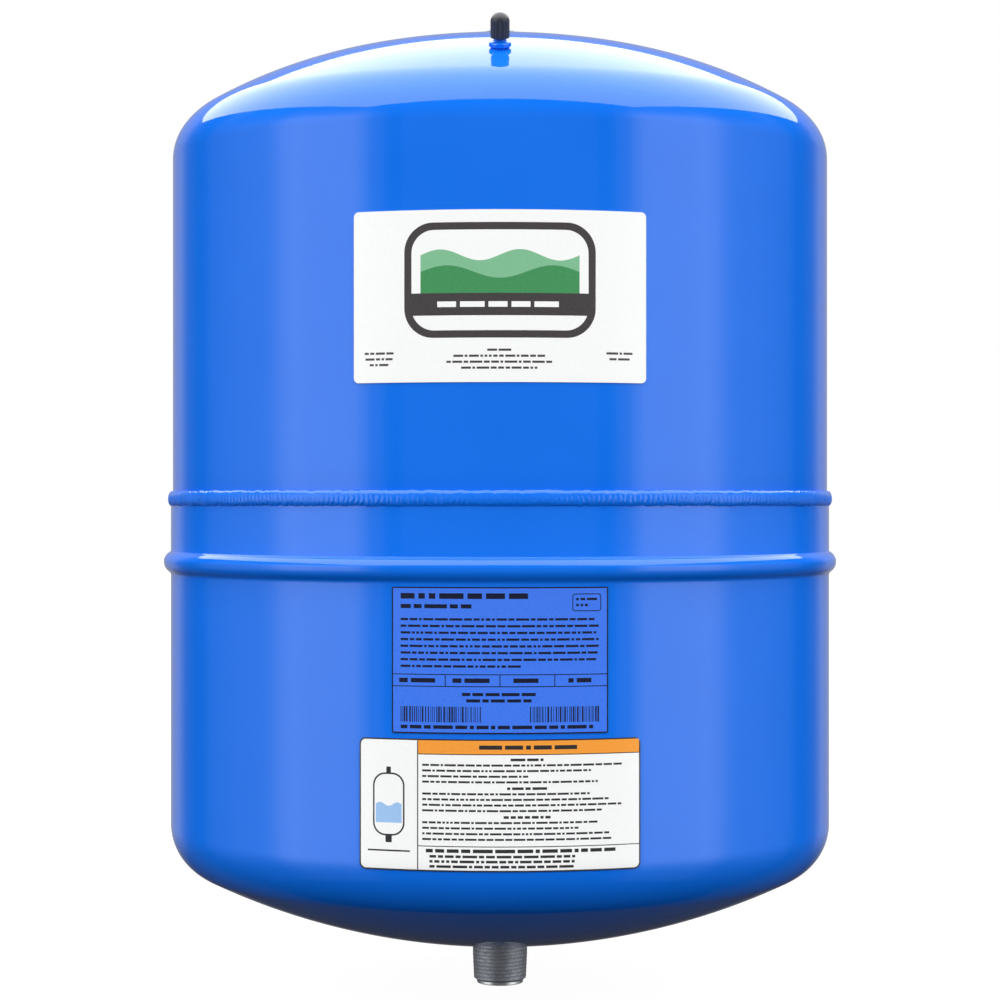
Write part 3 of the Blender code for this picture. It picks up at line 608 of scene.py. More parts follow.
# %% [markdown]
# ### Threads and ribs
# A thread is one ridge that climbs as it goes round, and a row of grip ribs is many ridges that don't
# climb. Both are a wave whose phase is so many ridges round plus so many ridges along. The tree cuts the
# wave into a plain turned piece, between two heights, and leaves the crests where the turned piece was.
# It also writes how deep each point was cut into the attribute called groove.

# %% Ridges
RIDGE_SIZES = ("Ridges Round", "Ridges Along", "Depth", "Low", "High", "Fade", "Least Radius", "Most Radius")
ridge_tree, node, size = new_tree("ridges", *RIDGE_SIZES)
_, xyz, turn, flat, radius = round_the_axis(node)
count = node("Math MULTIPLY", (turn, size["Ridges Round"]))
phase = node("Math MULTIPLY_ADD", (xyz["Z"], size["Ridges Along"], count))
wave = node("Math PINGPONG", (phase, 0.5))
cut = node("MapRange", (wave, 0.06, 0.44, 0.0, 1.0), interpolation_type="SMOOTHSTEP")
low_end = node("Math ADD", (size["Low"], size["Fade"]))
high_end = node("Math SUBTRACT", (size["High"], size["Fade"]))
rise = node("MapRange", (xyz["Z"], size["Low"], low_end, 0.0, 1.0))
fall = node("MapRange", (xyz["Z"], high_end, size["High"], 1.0, 0.0))
beyond = node("Math GREATER_THAN", (radius, size["Least Radius"]))
within = node("Math LESS_THAN", (radius, size["Most Radius"]))
for factor in (rise, fall, beyond, within):
    cut = node("Math MULTIPLY", (cut, factor))
groove = {"Geometry": size["Geometry"], "Name": "groove", "Value": cut}
marked = node("GeometryNodeStoreNamedAttribute", groove, data_type="FLOAT", domain="POINT")
depth = cut
for factor in (size["Depth"], -1.0):
    depth = node("Math MULTIPLY", (depth, factor))
outwards = node("VectorMath NORMALIZE", (flat,))
push = node("VectorMath SCALE", {0: outwards, "Scale": depth})
end_tree(node, size, node("GeometryNodeSetPosition", {"Geometry": marked, "Offset": push}))

# %% [markdown]
# ## The water nipple
# The nipple is a steel socket with a one inch taper pipe thread, eleven and a half ridges to the inch. It
# hangs through a hole in the foot of the tank and is welded there, with its flange inside. The thread
# runs the whole way up to the shell and fades there, where the die stops. Its lip is turned smoother, and its
# steel is painted paler there, a painted highlight.

# %% Nipple
INCH = 25.4 * MM
PIPE_RIDGES_PER_INCH = 11.5
FLANGE_RADIUS = 24 * MM
FLANGE_THICKNESS = 4 * MM
FLANGE_EDGE = 0.5 * MM
GRID_RADIUS = 14.9 * MM
GRID_THICKNESS = 1.9 * MM
GROOVE_IN, GROOVE_OUT, GROOVE_DEPTH = 18.65 * MM, 21.35 * MM, 2.4 * MM
NIPPLE_BORE = 12.7 * MM
TAPER_TOP = 18.1 * MM
LIP_HEIGHT = 2.2 * MM

flange_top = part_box("water_nipple")[1].z
flange_foot, groove_z = flange_top - FLANGE_THICKNESS, flange_top - GROOVE_DEPTH
recess, seat_z = GRID_RADIUS + FIT_GAP, flange_top - GRID_THICKNESS - FIT_GAP
profile = [(recess, flange_top), (GROOVE_IN, flange_top), (GROOVE_IN, groove_z), (GROOVE_OUT, groove_z)]
profile += [(GROOVE_OUT, flange_top), (FLANGE_RADIUS - FLANGE_EDGE, flange_top)]
profile += [(FLANGE_RADIUS, flange_top - FLANGE_EDGE)]
profile += [(FLANGE_RADIUS, flange_foot), (NIPPLE_RADIUS, flange_foot)]
profile += line((NIPPLE_RADIUS, flange_foot), (NIPPLE_RADIUS, TAPER_TOP), 54)
profile += line((NIPPLE_RADIUS, TAPER_TOP), (15.95 * MM, 3.1 * MM), 70)
profile += mm((14.2, 1.9), (14.2, 0.5), (13.9, 0.15), (13.5, 0.0), (13.1, 0.0))
profile += [(NIPPLE_BORE, 0.4 * MM), (NIPPLE_BORE, seat_z), (recess, seat_z)]
nipple_mesh = run_tree(
    ridge_tree, turned_mesh("water_nipple", profile, 128), "nipple_steel", crease=40,
    Ridges_Round=-1.0, Ridges_Along=PIPE_RIDGES_PER_INCH / INCH, Depth=0.1 * MM, Low=2.0 * MM,
    High=27.5 * MM, Fade=1.5 * MM, Least_Radius=15.2 * MM, Most_Radius=17.5 * MM,
)
# Painted highlight: the faces of the lip take the paler steel.
nipple_mesh.materials.append(lip_steel_painted_highlight)
for face in nipple_mesh.polygons:
    if face.center.z < LIP_HEIGHT:
        face.material_index = 1
add_piece(nipple_mesh, "water_nipple", "nipple_steel")

# %% [markdown]
# ## The grid in the nipple
# A disc with holes keeps the diaphragm out of the nipple's bore when the tank is empty. Holes that repeat
# are made by instances: one drill is set on every point of a ring and on the middle, and a Boolean takes
# them all out of the disc at once.

# %% Perforated grid
tree, node, size = new_tree("perforations", "Hole Radius", "Hole Circle", "Drill Length", "Height")
ring = node("GeometryNodeMeshCircle", {"Vertices": 6, "Radius": size["Hole Circle"]})
middle = node("GeometryNodeMeshLine", {"Count": 1})
spots = node("GeometryNodeJoinGeometry")
for source in (ring, middle):
    tree.links.new(source.outputs[0], spots.inputs[0])
inputs = {"Vertices": 40, "Radius": size["Hole Radius"], "Depth": size["Drill Length"]}
drill = node("GeometryNodeMeshCylinder", inputs)
drills = node("GeometryNodeInstanceOnPoints", {"Points": spots, "Instance": drill})
drills = node("GeometryNodeRealizeInstances", (drills,))
lift = node("CombineXYZ", {2: size["Height"]})
drills = node("GeometryNodeTransform", {"Geometry": drills, "Translation": lift})
inputs = (size["Geometry"], drills)
end_tree(node, size, node("GeometryNodeMeshBoolean", inputs, operation="DIFFERENCE", solver="EXACT"))

grid_foot, edge = flange_top - GRID_THICKNESS, 0.3 * MM
profile = [(0.0, flange_top), (GRID_RADIUS - edge, flange_top), (GRID_RADIUS, flange_top - edge)]
profile += [(GRID_RADIUS, grid_foot + edge), (GRID_RADIUS - edge, grid_foot), (0.0, grid_foot)]
grid_mesh = run_tree(
    tree, turned_mesh("inlet_grid", profile, 64), "polypropylene", Hole_Radius=2.4 * MM,
    Hole_Circle=8.4 * MM, Drill_Length=6 * MM, Height=flange_top - GRID_THICKNESS / 2,
)
add_piece(grid_mesh, "inlet_grid", "polypropylene")

# %% [markdown]
# ## Linings inside the tank
# The water side is lined with a polypropylene dish, and the diaphragm lies on it when the tank holds no
# water. Both follow the lower shell a little further in, and both rise over the nipple's flange. The
# diaphragm's rim is a thick bulb that fills the bead, and a plated hoop clamps it there.

# %% Liner, diaphragm, hoop and seal
LINER_THICKNESS = 1.5 * MM
DIAPHRAGM_THICKNESS = 2.4 * MM
PAD_RISE_WIDTH = 4 * MM
HOOP_THICKNESS = 2.2 * MM
HOOP_HALF_WIDTH = 5.5 * MM
SEAL_SECTION = 1.05 * MM
SEAL_RADIUS = 20 * MM
liner_inset = WALL + FIT_GAP
diaphragm_inset = liner_inset + LINER_THICKNESS + FIT_GAP
pad_radius = FLANGE_RADIUS + 2 * FIT_GAP


def lining(inset):
    """A surface parallel to the lower shell, raised in the middle onto the flange."""
    lean = lower_end.lean_at(pad_radius + PAD_RISE_WIDTH)
    rows = lower_end.rows(-inset, first_lean=lean)
    beyond = inset - liner_inset
    pad_z = flange_top + FIT_GAP + beyond
    slope = math.atan2(pad_z - rows[0][1], PAD_RISE_WIDTH)
    return [(pad_radius + beyond * math.tan(slope / 2), pad_z)] + rows


bulb_wall = LOWER_RADIUS - diaphragm_inset
bulb = bead_rows(WALL + 2 * FIT_GAP, bulb_wall, 0.3 * MM, 8)
top_z = bulb[-1][1] - FIT_GAP
outer, inner = lining(liner_inset), lining(liner_inset + LINER_THICKNESS)
hole, liner_wall = GRID_RADIUS - 0.6 * MM, LOWER_RADIUS - liner_inset
profile = [(liner_wall, top_z)] + outer[::-1] + [(hole, outer[0][1]), (hole, inner[0][1])] + inner
profile += [(liner_wall - LINER_THICKNESS, top_z)]
add_turned("liner", profile, 192, "polypropylene")

outer, inner = lining(diaphragm_inset), lining(diaphragm_inset + DIAPHRAGM_THICKNESS)
profile = [(0.0, inner[0][1])] + inner + [(bulb_wall - DIAPHRAGM_THICKNESS, bulb[0][1])] + bulb
profile += outer[::-1] + [(0.0, outer[0][1])]
add_turned("diaphragm", profile, 192, "butyl_rubber")

hoop_out = LOWER_RADIUS - diaphragm_inset - DIAPHRAGM_THICKNESS - FIT_GAP
hoop_in = hoop_out - HOOP_THICKNESS
low, high, edge = bead_z - HOOP_HALF_WIDTH, bead_z + HOOP_HALF_WIDTH, 0.6 * MM
profile = [(hoop_out - edge, high), (hoop_out, high - edge), (hoop_out, low + edge), (hoop_out - edge, low)]
profile += [(hoop_in + edge, low), (hoop_in, low + edge), (hoop_in, high - edge), (hoop_in + edge, high)]
add_turned("clamp_ring", profile, 192, "zinc_plated_steel")

profile = arc((SEAL_RADIUS, flange_top - SEAL_SECTION), SEAL_SECTION, 360, 0, 16)[:-1]
add_turned("inlet_seal", profile, 96, "butyl_rubber")

# %% Button on the crown
PLUG_RADIUS = 15 * MM
PLUG_CURVE = 41.5 * MM

plug_foot, plug_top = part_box("crown_plug")[0].z, cad_high.z
lean = math.degrees(math.asin(15 / 41.5))
dome = arc((0.0, plug_top - PLUG_CURVE), PLUG_CURVE, 90, 90 - lean, 16)
rim_x, rim_z = dome[-1]
profile = [(0.0, plug_top)] + dome[1:-1] + [(rim_x - 0.25 * MM, rim_z + 0.02 * MM), (rim_x, rim_z - 0.3 * MM)]
profile += [(PLUG_RADIUS, plug_foot), (0.0, plug_foot)]
add_turned("crown_plug", profile, 96, "zinc_plated_steel")

# %% [markdown]
# ## The air valve
# The valve is made upright at the origin, from the skin of the dome up, and its meshes are then set on
# the dome by one matrix. The collar and the neck are enamelled with the tank. The collar is turned, and
# six shallow flats are cut for a spanner, so its corners stay round. The neck carries the fine thread for
# the cap, thirty-two ridges to the inch.

# %% Collar and neck
VALVE_RIDGES_ALONG = 32 / INCH
STEM_RADIUS = 3.8 * MM
STEM_TOP = 15.8 * MM
COLLAR_TOP = 3.8 * MM
COLLAR_CORNER = 6.25 * MM
COLLAR_FLAT = 6.0 * MM

bore = STEM_RADIUS + 0.15 * MM
profile = [(bore, COLLAR_TOP), (4.5 * MM, COLLAR_TOP), (5.8 * MM, COLLAR_TOP - 0.3 * MM)]
profile += [(COLLAR_CORNER, COLLAR_TOP - 0.75 * MM)]
for end in ((COLLAR_CORNER, 1.3 * MM), (5.1 * MM, 0.3 * MM)):
    profile += line(profile[-1], end, 2)
profile += mm((5.0, 0.3), (5.0, -3.4)) + [(bore, -3.4 * MM)]
collar_mesh = turned_mesh("valve_boss", profile, 96)
for vert in collar_mesh.vertices:
    off_middle = math.atan2(vert.co.y, vert.co.x) % (math.pi / 3) - math.pi / 6
    flat = COLLAR_FLAT / math.cos(off_middle)
    vert.co.xy *= min(1.0, flat / vert.co.xy.length)
collar_mesh.update()
collar_mesh.set_sharp_from_angle(angle=math.radians(20))
add_piece(collar_mesh, "valve_boss", "blue_enamel", place=valve_place)

profile = [(3.4 * MM, STEM_TOP), (STEM_RADIUS, STEM_TOP - 0.4 * MM)]
profile += line(profile[-1], (STEM_RADIUS, 6.2 * MM), 110) + mm((3.35, 5.8), (3.35, 4.0))
profile += [(STEM_RADIUS, 3.6 * MM), (STEM_RADIUS, -6 * MM)]
profile += mm((2.0, -6), (2.0, 6.0), (2.75, 7.5)) + [(2.75 * MM, STEM_TOP)]
stem_mesh = run_tree(
    ridge_tree, turned_mesh("valve_stem", profile, 64), "blue_enamel", crease=40,
    Ridges_Round=-1.0, Ridges_Along=VALVE_RIDGES_ALONG, Depth=0.35 * MM, Low=6.0 * MM,
    High=STEM_TOP + 0.5 * MM, Fade=0.6 * MM, Least_Radius=3.3 * MM, Most_Radius=4.2 * MM,
)
add_piece(stem_mesh, "valve_stem", "blue_enamel", place=valve_place)

# %% [markdown]
# The core screws into the neck and holds the air in. A pin runs down its middle with a rubber seal at
# the foot, and a spring keeps the seal shut. Pressing the pin lets air out and squashes the spring. The
# pin and its seal move on their own body, and the spring gets a mesh of its own.

# %% Valve core
CORE = {
    ("core_barrel", 48, "valve_brass", "tank"): (
        (2.5, 13.8), (2.6, 13.7), (2.6, 8.5), (1.55, 8.5), (1.55, 3), (0.6, 3), (0.6, 3.9), (1.15, 3.9),
        (1.15, 11.3), (0.6, 11.3), (0.6, 13.8),
    ),
    ("core_gasket", 48, "butyl_rubber", "tank"): (
        (2.6, 8.35), (2.6, 7.5), (1.925, 6.15), (1.7, 6.15), (1.7, 8.35),
    ),
    ("core_pin", 32, "valve_brass", "valve_pin"): (
        (0.0, 15.2), (0.3, 15.17), (0.45, 15.0), (0.45, 11.15), (1.0, 11.15), (1.0, 10.55), (0.45, 10.55),
        (0.45, 1.6), (1.2, 1.6), (1.2, 1.0), (0.0, 1.0),
    ),
    ("core_seal", 48, "butyl_rubber", "valve_pin"): ((1.5, 2.85), (1.5, 1.75), (0.6, 1.75), (0.6, 2.85)),
}
for (name, segments, slot, body), points in CORE.items():
    add_turned(name, mm(*points), segments, slot, body, valve_place)

# %% [markdown]
# A coil spring is a wire swept along a spiral, which is just what Curve Spiral and Curve to Mesh do.

# %% Spring
SPRING_LOW, SPRING_HIGH = 4.21 * MM, 10.24 * MM

tree, node, size = new_tree("coil spring", "Turns", "Coil Radius", "Low", "Rise", "Wire Radius")
inputs = {"Resolution": 24, "Rotations": size["Turns"], "Height": size["Rise"]}
inputs.update({"Start Radius": size["Coil Radius"], "End Radius": size["Coil Radius"]})
path = node("GeometryNodeCurveSpiral", inputs)
section = node("GeometryNodeCurvePrimitiveCircle", {"Resolution": 10, "Radius": size["Wire Radius"]})
wire = node("GeometryNodeCurveToMesh", {"Curve": path, "Profile Curve": section, "Fill Caps": True})
lift = node("CombineXYZ", {2: size["Low"]})
end_tree(node, size, node("GeometryNodeTransform", {"Geometry": wire, "Translation": lift}))
spring_mesh = run_tree(
    tree, bpy.data.meshes.new("core_spring"), "zinc_plated_steel", crease=60, Turns=7.0,
    Coil_Radius=0.8 * MM, Low=SPRING_LOW, Rise=SPRING_HIGH - SPRING_LOW, Wire_Radius=0.16 * MM,
)
spring = add_piece(spring_mesh, "core_spring", "zinc_plated_steel", place=valve_place)
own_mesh(spring)

# %% [markdown]
# The cap is moulded nylon with sixteen grip ribs and a domed end. It unscrews, so it rides on its own
# body, and the rubber disc inside it goes up with it.

# %% Cap and its seal
CAP_RADIUS = 5.3 * MM
CAP_FOOT, CAP_TOP, CAP_SHOULDER = 5.6 * MM, 19.8 * MM, 14.8 * MM
CAP_BORE, THREAD_TOP = 4.1 * MM, 15.3 * MM
CAP_RIBS = 16
DOME_ROWS = 14

ceiling = STEM_TOP + 1.8 * MM
profile = [(0.0, CAP_TOP)]
for i in range(1, DOME_ROWS):
    lean = math.radians(90 - 90 * i / DOME_ROWS)
    profile.append((CAP_RADIUS * math.cos(lean), CAP_SHOULDER + (CAP_TOP - CAP_SHOULDER) * math.sin(lean)))
profile += [(CAP_RADIUS, CAP_SHOULDER)]
profile += line(profile[-1], (CAP_RADIUS, CAP_FOOT + 0.4 * MM), 16)
profile += [(CAP_RADIUS - 0.3 * MM, CAP_FOOT), (CAP_BORE + 0.3 * MM, CAP_FOOT)]
profile += [(CAP_BORE, CAP_FOOT + 0.3 * MM)]
profile += line(profile[-1], (CAP_BORE, THREAD_TOP), 100) + [(CAP_BORE, ceiling), (0.0, ceiling)]
ribs = dict(
    Ridges_Round=float(CAP_RIBS), Ridges_Along=0.0, Depth=0.4 * MM, Low=CAP_FOOT - 1.0 * MM,
    High=CAP_SHOULDER + 1.6 * MM, Fade=1.0 * MM, Least_Radius=4.7 * MM, Most_Radius=6 * MM,
)
thread = dict(
    Ridges_Round=-1.0, Ridges_Along=VALVE_RIDGES_ALONG, Depth=-0.3 * MM, Low=CAP_FOOT,
    High=THREAD_TOP, Fade=0.8 * MM, Least_Radius=4.0 * MM, Most_Radius=4.2 * MM,
)
cap_mesh = turned_mesh("valve_cap", profile, 10 * CAP_RIBS)
for sizes in (ribs, thread):
    cap_mesh = run_tree(ridge_tree, cap_mesh, "cap_plastic", crease=40, **sizes)
add_piece(cap_mesh, "valve_cap", "cap_plastic", "cap", valve_place)

low, high = STEM_TOP + 0.3 * MM, STEM_TOP + 1.5 * MM
profile = [(0.0, high), (3.7 * MM, high), (3.8 * MM, high - 0.1 * MM)]
profile += [(3.8 * MM, low + 0.1 * MM), (3.7 * MM, low), (0.0, low)]
add_turned("cap_seal", profile, 64, "butyl_rubber", "cap_disc", valve_place)

# %% [markdown]
# ## Labels
# A label starts as a flat sheet, with its print as flat shapes drawn over each other, as in a paint
# program. A constrained triangulation then divides the sheet along every edge, so that each face has the
# ink of the topmost shape over it and the sheet stays one closed skin. A grid of extra lines gives the
# sheet enough columns to bend. The design here is a plain one: bars stand for lines of print.

# %% Shapes for print
def oblong(x, y, width, height, code):
    """A rectangle by its middle, in millimetres."""
    w, h = width / 2, height / 2
    return [(x - w, y - h), (x + w, y - h), (x + w, y + h), (x - w, y + h)], code


def rounded(x, y, width, height, corner, code, steps=8):
    """A rectangle with round corners, by its middle."""
    points = []
    for quarter, (side, level) in enumerate(((1, 1), (-1, 1), (-1, -1), (1, -1))):
        across, up = x + side * (width / 2 - corner), y + level * (height / 2 - corner)
        for i in range(steps + 1):
            turn = math.pi / 2 * (quarter + i / steps)
            points.append((across + corner * math.cos(turn), up + corner * math.sin(turn)))
    return points, code


def words(dice, x, y, width, height, code, centred=False):
    """A line of print as a row of bars, each as long as a word might be."""
    lengths, used = [], 0.0
    while True:
        length = height * dice.choice((1.2, 2.0, 2.6, 3.4, 4.4, 5.6))
        if used + length > width:
            break
        lengths.append(length)
        used += length + height * 0.7
    at = x + (width - used) / 2 if centred else x
    bars = []
    for length in lengths:
        bars.append(oblong(at + length / 2, y, length, height, code))
        at += length + height * 0.7
    return bars


def wave_band(left, right, y, swing, waves, low, code, steps=60):
    """A field whose top edge is a wave, down to a flat foot."""
    points = []
    for i in range(steps + 1):
        x = left + (right - left) * i / steps
        points.append((x, y + swing * math.sin(2 * math.pi * waves * i / steps)))
    return [(left, low), (right, low)] + points[::-1], code


# %% From shapes to a sheet
COLUMN = 2.4


def sheet_mesh(name, shapes, middle_z):
    """The first shape is the sheet's outline. Each face gets the ink of the last shape that covers it."""
    points, edges, loops = [], [], []
    for outline, code in shapes:
        loops.append(list(range(len(points), len(points) + len(outline))))
        points += [Vector(p) for p in outline]
    reach = [(min(p[k] for p in shapes[0][0]), max(p[k] for p in shapes[0][0])) for k in (0, 1)]
    for axis, (low, high) in enumerate(reach):
        count = int((high - low) / COLUMN)
        for i in range(1, count):
            at = low + (high - low) * i / count
            edges.append((len(points), len(points) + 1))
            points += [Vector((end, at) if axis else (at, end)) for end in reach[1 - axis]]
    spots, _, faces, _, _, owners = delaunay_2d_cdt(points, edges, loops, 0, 1e-4, True)
    kept = [(face, max(owner)) for face, owner in zip(faces, owners) if 0 in owner]
    mesh = bpy.data.meshes.new(name)
    mesh.from_pydata([(p.x * MM, p.y * MM + middle_z, 0.0) for p in spots], [], [face for face, _ in kept])
    ink = mesh.color_attributes.new("ink", "FLOAT_COLOR", "CORNER")
    for polygon, (_, owner) in zip(mesh.polygons, kept):
        colour = linear(shapes[owner][1])
        for corner in polygon.loop_indices:
            ink.data[corner].color = colour
    form = bmesh.new()
    form.from_mesh(mesh)
    bmesh.ops.delete(form, geom=[v for v in form.verts if not v.link_faces], context="VERTS")
    for face in form.faces:
        if face.normal.z < 0:
            face.normal_flip()
    form.to_mesh(mesh)
    form.free()
    return mesh


# %% [markdown]
# A second tree bends the flat sheet round the tank. It gives the sheet its thickness, turns the distance
# across into an angle, and reads the radius from the height: the wall's radius down to where the lower
# end begins, and the knuckle's arc from there.

# %% Wrapping tree
WRAP_SIZES = ("Skin Radius", "Tangent Height", "Knuckle Radius", "Stand Off", "Thickness")
wrap_tree, node, size = new_tree("wrap round the tank", *WRAP_SIZES)
up = node("CombineXYZ", {2: 1.0})
inputs = {"Mesh": size["Geometry"], "Offset": up, "Offset Scale": size["Thickness"], "Individual": False}
raised = node("GeometryNodeExtrudeMesh", inputs)
back = node("GeometryNodeFlipFaces", (size["Geometry"],))
body = node("GeometryNodeJoinGeometry")
for source in (raised, back):
    wrap_tree.links.new(source.outputs[0], body.inputs[0])
body = node("GeometryNodeMergeByDistance", {"Geometry": body, "Distance": 1e-6})
spot = node("GeometryNodeInputPosition")
xyz = node("SeparateXYZ", (spot,)).outputs
angle = node("Math DIVIDE", (xyz["X"], size["Skin Radius"]))
drop = node("Math SUBTRACT", (size["Tangent Height"], xyz["Y"]))
drop = node("Math MAXIMUM", (drop, 0.0))
reach = node("Math ADD", (size["Knuckle Radius"], size["Stand Off"]))
reach = node("Math ADD", (reach, xyz["Z"]))
lean = node("Math DIVIDE", (drop, reach))
for operation in ("ARCSINE", "COSINE"):
    lean = node("Math " + operation, (lean,))
arm = node("Math MULTIPLY", (lean, reach))
centre = node("Math SUBTRACT", (size["Skin Radius"], size["Knuckle Radius"]))
radius = node("Math ADD", (arm, centre))
parts = []
for operation, sign in (("SINE", 1.0), ("COSINE", -1.0)):
    part = node("Math " + operation, (angle,))
    for factor in (radius, sign):
        part = node("Math MULTIPLY", (part, factor))
    parts.append(part)
bent = node("CombineXYZ", (*parts, xyz["Y"]))
end_tree(node, size, node("GeometryNodeSetPosition", {"Geometry": body, "Position": bent}))


def add_label(name, shapes, skin_radius, slot):
    low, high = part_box(name)
    mesh = run_tree(
        wrap_tree, sheet_mesh(name, shapes, (low.z + high.z) / 2), slot, crease=40,
        Skin_Radius=skin_radius, Tangent_Height=lower_end.tangent_z,
        Knuckle_Radius=lower_end.radii[-1], Stand_Off=FIT_GAP, Thickness=0.25 * MM,
    )
    return add_piece(mesh, name, slot)


# %% [markdown]
# The front label is white with a dark framed panel in the middle. The panel holds two green waves for
# water over a dark band, and small print lies along the foot of the sheet.

# %% Front label
WHITE, INK, GREEN, PALE_GREEN = "F6F7F7", "454142", "3D9458", "7DBE92"
dice = random.Random(11)
shapes = [rounded(0, 0, 162.5, 92.6, 2.8, WHITE)]
shapes.append(rounded(0, 8.5, 104, 62, 16, INK, 16))
shapes.append(rounded(0, 8.5, 96, 54, 12.5, WHITE, 16))
shapes.append(wave_band(-43, 43, 22, 3.0, 2.0, 1.0, PALE_GREEN))
shapes.append(wave_band(-43, 43, 13, 3.4, 1.5, 1.0, GREEN))
shapes.append(oblong(0, -4.5, 97, 12, INK))
shapes += words(dice, -34, -4.5, 68, 3.0, WHITE, centred=True)
for x, count in ((-66, 3), (66, 2)):
    for i in range(count):
        shapes += words(dice, x - 9, -30.5 - 3.1 * i, 18, 1.2, INK, centred=True)
for i, width in enumerate((16, 52, 60, 44)):
    shapes += words(dice, -width / 2, -29 - 3.2 * i, width, 1.2, INK, centred=True)
add_label("front_label", shapes, UPPER_RADIUS, "white_vinyl")

# %% [markdown]
# The data label is printed in black on blue, with a ruled frame, lines of print, a ruled row of cells
# and two fields of upright bars.

# %% Data label
BLUE_FILM, BLACK = "3675EE", "0E1430"
dice = random.Random(23)
shapes = [rounded(0, 0, 117.8, 78.7, 0.8, BLACK, 3), oblong(0, 0, 116.4, 77.3, BLUE_FILM)]
shapes += words(dice, -54, 34.5, 74, 3.0, BLACK)
shapes += words(dice, -54, 29.0, 40, 2.2, BLACK)
shapes.append(rounded(47, 31, 16, 9.5, 1.5, BLACK))
shapes.append(rounded(47, 31, 15, 8.5, 1.1, BLUE_FILM))
shapes += words(dice, 41, 32.8, 12, 1.3, BLACK)
shapes += words(dice, 41, 29.6, 12, 1.3, BLACK)
for i in range(8):
    shapes += words(dice, -54, 22.0 - 3.6 * i, 108 if i < 7 else 70, 1.25, BLACK)
for y in (-7.6, -14.0):
    shapes.append(oblong(0, y, 117, 0.5, BLACK))
for x in (-29.4, 0.0, 29.4):
    shapes.append(oblong(x, -10.8, 0.5, 6.4, BLACK))
for x in (-44.0, -14.7, 14.7, 44.0):
    shapes += words(dice, x - 11, -10.8, 22, 2.4, BLACK, centred=True)
for i, width in enumerate((48, 36)):
    shapes += words(dice, -width / 2, -18.2 - 3.4 * i, width, 1.7, BLACK, centred=True)
for left, right in ((-54, -10), (16, 54)):
    at = left
    while at < right:
        bar = dice.choice((0.35, 0.35, 0.6, 0.9))
        shapes.append(oblong(at + bar / 2, -29.0, bar, 8.4, BLACK))
        at += bar + dice.choice((0.4, 0.6, 0.9))
shapes += words(dice, -54, -35.8, 108, 1.9, BLACK)
add_label("data_label", shapes, LOWER_RADIUS, "blue_vinyl")

# %% [markdown]
# The lower label is white with a dark rim, an orange head and ruled panels of small print. In the panel
# beside them is a plain cut-away drawing of a tank: air over a wavy line, and water below it.

# %% Lower label
ORANGE, WATER, RULE = "F59C33", "9CC3EE", "2C2C2E"
dice = random.Random(37)
shapes = [rounded(0, 0, 155.4, 71.1, 3.5, RULE), rounded(0, 0, 153.8, 69.5, 2.8, WHITE)]
shapes.append(oblong(16.2, 31.2, 121.4, 7.2, ORANGE))
shapes.append(oblong(16.2, 27.4, 121.4, 0.5, RULE))
shapes += words(dice, -14, 31.2, 60, 2.2, RULE, centred=True)
shapes.append(oblong(-44.5, 0, 0.6, 69.5, RULE))
shapes.append(oblong(16.2, -22.0, 121.4, 0.5, RULE))
line_at = 24.6
for _ in range(3):
    shapes += words(dice, 2, line_at, 26, 1.4, RULE, centred=True)
    for i in range(4):
        line_at -= 3.0
        shapes += words(dice, -42, line_at, dice.uniform(60, 112), 1.1, RULE)
    line_at -= 3.4
shapes += words(dice, -40, -24.4, 110, 1.9, RULE)
for i in range(3):
    shapes += words(dice, -38, -27.4 - 2.7 * i, dice.uniform(70, 96), 1.4, RULE)
shapes.append(rounded(-60.8, 0, 18, 34, 7, RULE, 10))
shapes.append(rounded(-60.8, 0, 16.2, 32.2, 6.2, WHITE, 10))
shapes.append(wave_band(-68.2, -53.4, 0, 1.0, 1.5, -10.0, WATER))
shapes.append(rounded(-60.8, -18.6, 3.6, 4.0, 0.4, RULE, 3))
shapes.append(rounded(-60.8, 18.4, 2.6, 3.6, 0.4, RULE, 3))
shapes.append(oblong(-60.8, -25.0, 24, 0.9, RULE))
add_label("info_label", shapes, LOWER_RADIUS, "white_vinyl")

# %% [markdown]
# ## Studio
# The tank stands before a white background. For a plain, even light the world shines on it from all
# round, and the floor gives little of it back, so the underside turns dark. What the gloss shows is a
# different matter: it mirrors the studio's own panels. A wide panel hangs overhead, a tall soft panel
# stands on each side, and dark flats fill the gaps. Those cards are seen by reflected rays alone, which
# keeps the white behind the tank clean and the light on it plain.

# %% World
def emptied(owner):
    """Clears the node tree of a world or a paint, and gives back its node function."""
    owner.use_nodes = True
    owner.node_tree.nodes.clear()
    return partial(add_node, owner.node_tree)


WHITE_LIGHT = (1, 1, 1, 1)
world = bpy.data.worlds.new("studio world")
bpy.context.scene.world = world
node = emptied(world)
rays = node("LightPath").outputs
seen = node("Math ADD", (rays["Is Camera Ray"], rays["Is Glossy Ray"]))
seen = node("Math ADD", (seen, rays["Is Transmission Ray"]), use_clamp=True)
aim = node("TexCoord").outputs["Generated"]
aim = node("SeparateXYZ", (aim,)).outputs["Z"]
strength = node("MapRange", (aim, 0.6, 1.0, 1.9, 2.4), interpolation_type="SMOOTHSTEP")
soft = node("Background", {"Color": WHITE_LIGHT, "Strength": strength})
white = node("Background", {"Color": WHITE_LIGHT, "Strength": 1.0})
node("OutputWorld", (node("MixShader", (seen, soft, white)),))

# %% Things on the stage
REFLECTED_ONLY = dict(camera=False, diffuse=False, shadow=False, transmission=False, volume_scatter=False)


def stage_object(name, mesh, paint, **seen_by):
    """A floor or a card, and which kinds of ray see it."""
    mesh.materials.append(paint)
    thing = bpy.data.objects.new(name, mesh)
    bpy.context.collection.objects.link(thing)
    thing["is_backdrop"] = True
    for kind, seen in seen_by.items():
        setattr(thing, "visible_" + kind, seen)


def four_corners(name, corners):
    mesh = bpy.data.meshes.new(name)
    mesh.from_pydata(corners, [], [(0, 1, 2, 3)])
    return mesh


